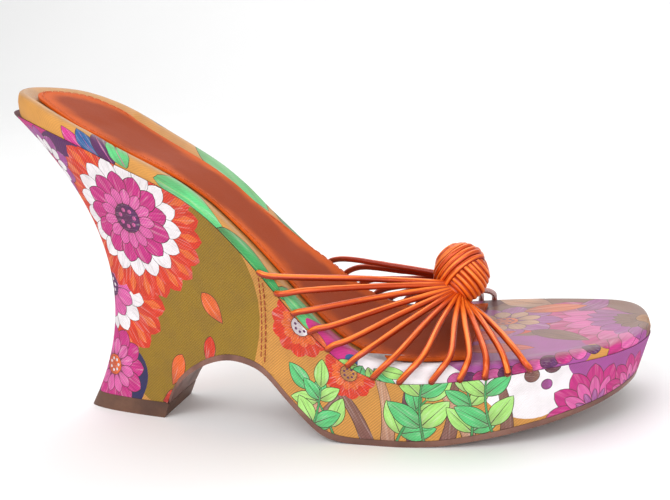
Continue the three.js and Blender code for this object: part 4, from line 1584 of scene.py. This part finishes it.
def thread_look(name, colour):
    look = Look(name)
    place = look.add("UVMap", uv_map="cord").outputs["UV"]
    x, y, _ = look.add("SeparateXYZ", {0: place}).outputs
    ply = look.maths("SINE", look.plus(look.times(x, 130.0), look.times(y, 2 * math.pi)))
    shade = look.mix(look.ramp(ply, -1.0, 1.0, 0.35, 0.0), rgba(colour), rgba((0.03, 0.01, 0.01)))
    return look.finish(Base_Color=shade, Roughness=0.55, Normal=look.bump(ply, 0.03 * MM))


def floor_look(colour):
    look = Look("studio_floor")
    clouds = look.noise(look.place(), 3.0, 2.0)
    shade = look.mix(look.ramp(clouds, 0.3, 0.7, 0.0, 0.03), rgba(colour), rgba((0.6, 0.6, 0.6)))
    return look.finish(Base_Color=shade, Roughness=0.85)


# Settings.

def length_setting(name, description, value):
    return FloatProperty(name=name, description=description, default=value, min=0, subtype="DISTANCE",
                         unit="LENGTH", precision=5)


def colour_setting(name, description, code):
    return FloatVectorProperty(name=name, description=description, default=tone(code), min=0, max=1,
                               subtype="COLOR", size=3)


def power_setting(name, description, value):
    return FloatProperty(name=name, description=description, default=value, min=0, unit="POWER")


class MuleSizes(bpy.types.PropertyGroup):
    """Sizes of the shoe's small parts."""

    cord_diameter: length_setting("Cord", "Diameter of the leather cords", 2.15 * MM)
    twill_pitch: length_setting("Twill", "Distance between the cloth's diagonal ridges", 0.75 * MM)
    stitch_length: length_setting("Stitch", "Length of one stitch", 1.7 * MM)
    stitch_gap: length_setting("Stitch gap", "Distance between two stitches", 0.5 * MM)


class MuleDyes(bpy.types.PropertyGroup):
    """Colours of the printed cloth."""

    __annotations__ = {
        name: colour_setting(name.capitalize(), f"The {name} of the printed cloth", code)
        for name, code in DYES.items()
    }


class MuleLeathers(bpy.types.PropertyGroup):
    """Colours of the leather, rubber and thread, with the painted highlight and painted shade of the
    cords.
    """

    cord: colour_setting("Cord", "Cord leather", "#cf4a08")
    # The cords' painted highlight and painted shade stand in for light on the foiled leather.
    cord_painted_highlight: colour_setting("Cord, bright", "Cord leather along its crown", "#ff8a2c")
    cord_painted_shade: colour_setting("Cord, dark", "Cord leather on its flanks and in its wrinkles", "#8e2305")
    sock: colour_setting("Sock lining", "Middle of the sock lining", "#963a14")
    sock_edge: colour_setting("Sock lining edge", "Sock lining near its edge", "#cf5a18")
    sole: colour_setting("Outsole", "Outsole leather", "#80574a")
    sole_dark: colour_setting("Outsole, dark", "Outsole leather where it is dark", "#5c3a30")
    piece: colour_setting("Top piece", "Rubber of the heel's top piece", "#6b4733")
    piece_dark: colour_setting("Top piece, dark", "Top piece where it is dark", "#4b3024")
    seam_thread: colour_setting("Seam thread", "Thread of the waist seam", "#a83f22")
    sock_thread: colour_setting("Sock thread", "Thread of the sock lining", "#d8662c")


class MuleStage(bpy.types.PropertyGroup):
    """Floor, light and camera."""

    floor: colour_setting("Floor", "Colour of the studio floor", "#f6f6f6")
    lens: FloatProperty(name="Lens", description="Focal length on a sensor 36 mm wide",
                        default=56.93, min=1)
    key: power_setting("Key light", "Power of the large light", 8)
    fill: power_setting("Fill light", "Power of the side light", 5.5)
    top: power_setting("Top light", "Power of the light overhead", 3)
    backdrop: power_setting("Backdrop light", "Power of the light on the floor behind", 24)
    sky: FloatProperty(name="Sky", description="Strength of the light from all round",
                       default=0.65, min=0)


# Camera: its place from the footbed's rear end, and its angles in degrees.
CAMERA_AT = Vector((200.5, -357.2, 129.1)) * MM
CAMERA_YAW = 13.87
CAMERA_PITCH = 10.94
CAMERA_ROLL = -3.95

# Floor: it runs level from FLOOR_START to FLOOR_BEND and then turns up in a round bend.
FLOOR_START = -3
FLOOR_BEND = 1.8
FLOOR_LENGTH = 7
FLOOR_BREADTH = 9
BEND_RADIUS = 1.2


def tie(piece, material, slot, *nodes):
    """Moves a finished piece to the frame's place, gives it its material, puts it under the root body
    and hides the nodes that it stands for.
    """
    piece.data.transform(Matrix.Translation(PLACE))
    piece.data.materials.clear()
    piece.data.materials.append(material)
    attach(piece, "root")
    if nodes:
        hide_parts(*nodes)


class MULE_OT_wedge_cover(bpy.types.Operator):
    """Add the printed cloth round the wedge"""

    bl_idname = "mule.wedge_cover"
    bl_label = "Wedge cover"

    def execute(self, context):
        tie(make_wedge_cover(), cloth_look("cover_cloth", False), "cover_cloth", "wedge")
        return {"FINISHED"}


class MULE_OT_footbed_wrap(bpy.types.Operator):
    """Add the filmed cloth over the footbed and its edge"""

    bl_idname = "mule.footbed_wrap"
    bl_label = "Footbed wrap"

    def execute(self, context):
        tie(make_footbed_wrap(), cloth_look("footbed_cloth", True), "footbed_cloth", "footbed")
        return {"FINISHED"}


class MULE_OT_sock_lining(bpy.types.Operator):
    """Add the leather sock lining"""

    bl_idname = "mule.sock_lining"
    bl_label = "Sock lining"

    def execute(self, context):
        tie(make_sock_lining(), sock_look(), "sock_leather", "sock_lining")
        return {"FINISHED"}


class MULE_OT_sole(bpy.types.Operator):
    """Add the outsole and the heel's top piece"""

    bl_idname = "mule.sole"
    bl_label = "Outsole and top piece"

    def execute(self, context):
        leathers = context.scene.mule_leathers
        look = grained_look("sole_leather", leathers.sole, leathers.sole_dark, 0.5, 420.0)
        tie(make_outsole(), look, "sole_leather", "outsole")
        look = grained_look("top_piece_rubber", leathers.piece, leathers.piece_dark, 0.58, 600.0, 2.0)
        tie(make_top_piece(), look, "top_piece", "heel_top_piece")
        return {"FINISHED"}


class MULE_OT_cords(bpy.types.Operator):
    """Add the cords of both sides and the knot that they run into"""

    bl_idname = "mule.cords"
    bl_label = "Cords and knot"

    def execute(self, context):
        diameter = context.scene.mule_sizes.cord_diameter
        look = cord_look()
        tie(make_cords(OUTER, "cords_outer", diameter), look, "cord_leather", "upper")
        tie(make_cords(INNER, "cords_inner", diameter), look, "cord_leather", "upper")
        tie(make_knot(diameter), look, "cord_leather", "upper")
        return {"FINISHED"}


class MULE_OT_stitches(bpy.types.Operator):
    """Add the stitching of the waist seam and the sock lining"""

    bl_idname = "mule.stitches"
    bl_label = "Stitches"

    def execute(self, context):
        sizes, leathers = context.scene.mule_sizes, context.scene.mule_leathers
        look = thread_look("seam_thread", leathers.seam_thread)
        tie(make_waist_stitches(sizes.stitch_length, sizes.stitch_gap), look, "cover_cloth")
        look = thread_look("sock_thread", leathers.sock_thread)
        tie(make_sock_stitches(sizes.stitch_length * 1.3, sizes.stitch_gap * 1.5), look, "sock_leather")
        return {"FINISHED"}


def soft_light(name, place, size, power, target):
    bpy.ops.object.light_add(type="AREA", location=place)
    light = bpy.context.object
    light.name = light.data.name = name
    light.data.size, light.data.energy = size, power
    light.rotation_euler = (target - Vector(place)).to_track_quat("-Z", "Y").to_euler()


class MULE_OT_stage(bpy.types.Operator):
    """Add the pale floor, the soft lights and the camera"""

    bl_idname = "mule.stage"
    bl_label = "Studio and camera"

    def execute(self, context):
        stage = context.scene.mule_stage
        deselect_all()
        bpy.ops.mesh.primitive_grid_add(x_subdivisions=2, y_subdivisions=60, size=1)
        floor = context.object
        floor.name = floor.data.name = "floor"
        quarter = BEND_RADIUS * math.pi / 2
        for vertex in floor.data.vertices:
            run = (vertex.co.y + 0.5) * FLOOR_LENGTH + FLOOR_START
            bend = clamp(run - FLOOR_BEND, 0, quarter) / BEND_RADIUS
            y = min(run, FLOOR_BEND) + BEND_RADIUS * math.sin(bend)
            z = BEND_RADIUS * (1 - math.cos(bend)) + max(run - FLOOR_BEND - quarter, 0)
            vertex.co = (vertex.co.x * FLOOR_BREADTH, y, z)
        bpy.ops.object.shade_smooth()
        floor.data.materials.append(floor_look(stage.floor))
        centre = Vector((0, 0, 0.06))
        soft_light("key_light", (-0.45, -0.95, 0.95), 0.9, stage.key, centre)
        soft_light("fill_light", (0.6, -0.95, 0.35), 0.8, stage.fill, centre)
        soft_light("top_light", (0.05, 0.35, 1.1), 0.9, stage.top, centre)
        soft_light("backdrop_light", (0, 2.2, 1.7), 3, stage.backdrop, Vector((0, 2.3, 0)))
        world = bpy.data.worlds.new("studio")
        world.use_nodes = True
        background = world.node_tree.nodes["Background"]
        background.inputs["Color"].default_value = (1, 1, 1, 1)
        background.inputs["Strength"].default_value = stage.sky
        context.scene.world = world
        context.scene.view_settings.view_transform = "Standard"
        yaw, pitch, roll = (math.radians(a) for a in (CAMERA_YAW, CAMERA_PITCH, CAMERA_ROLL))
        ahead = Vector((-math.sin(yaw), math.cos(yaw), 0))
        forward = ahead * math.cos(pitch) - Vector((0, 0, math.sin(pitch)))
        level = Vector((math.cos(yaw), math.sin(yaw), 0))
        upright = level.cross(forward)
        right = math.cos(roll) * level + math.sin(roll) * upright
        up = math.cos(roll) * upright - math.sin(roll) * level
        bpy.ops.object.camera_add(location=CAMERA_AT + PLACE)
        camera = context.object
        camera.rotation_euler = Matrix((right, up, -forward)).transposed().to_euler()
        camera.data.sensor_fit, camera.data.sensor_width = "HORIZONTAL", 36
        camera.data.lens = stage.lens
        context.scene.camera = camera
        return {"FINISHED"}


OPERATORS = (
    MULE_OT_wedge_cover,
    MULE_OT_footbed_wrap,
    MULE_OT_sock_lining,
    MULE_OT_sole,
    MULE_OT_cords,
    MULE_OT_stitches,
    MULE_OT_stage,
)
GROUPS = {
    "mule_sizes": MuleSizes,
    "mule_dyes": MuleDyes,
    "mule_leathers": MuleLeathers,
    "mule_stage": MuleStage,
}


class MULE_PT_panel(bpy.types.Panel):
    bl_idname = "MULE_PT_panel"
    bl_label = "Wedge mule"
    bl_space_type = "VIEW_3D"
    bl_region_type = "UI"
    bl_category = "Mule"

    def draw(self, context):
        for operator in OPERATORS:
            self.layout.operator(operator.bl_idname)
        for name, group in GROUPS.items():
            box = self.layout.box()
            for key in group.__annotations__:
                box.prop(getattr(context.scene, name), key)


def register():
    for group in GROUPS.values():
        bpy.utils.register_class(group)
    for operator in OPERATORS:
        bpy.utils.register_class(operator)
    bpy.utils.register_class(MULE_PT_panel)
    for name, group in GROUPS.items():
        setattr(bpy.types.Scene, name, PointerProperty(type=group))


def unregister():
    for name in GROUPS:
        delattr(bpy.types.Scene, name)
    bpy.utils.unregister_class(MULE_PT_panel)
    for operator in reversed(OPERATORS):
        bpy.utils.unregister_class(operator)
    for group in reversed(GROUPS.values()):
        bpy.utils.unregister_class(group)


def main():
    register()
    for operator in OPERATORS:
        family, name = operator.bl_idname.split(".")
        result = getattr(getattr(bpy.ops, family), name)()
        if result != {"FINISHED"}:
            raise RuntimeError(f"{operator.bl_idname} did not finish")


if __name__ == "__main__":
    main()
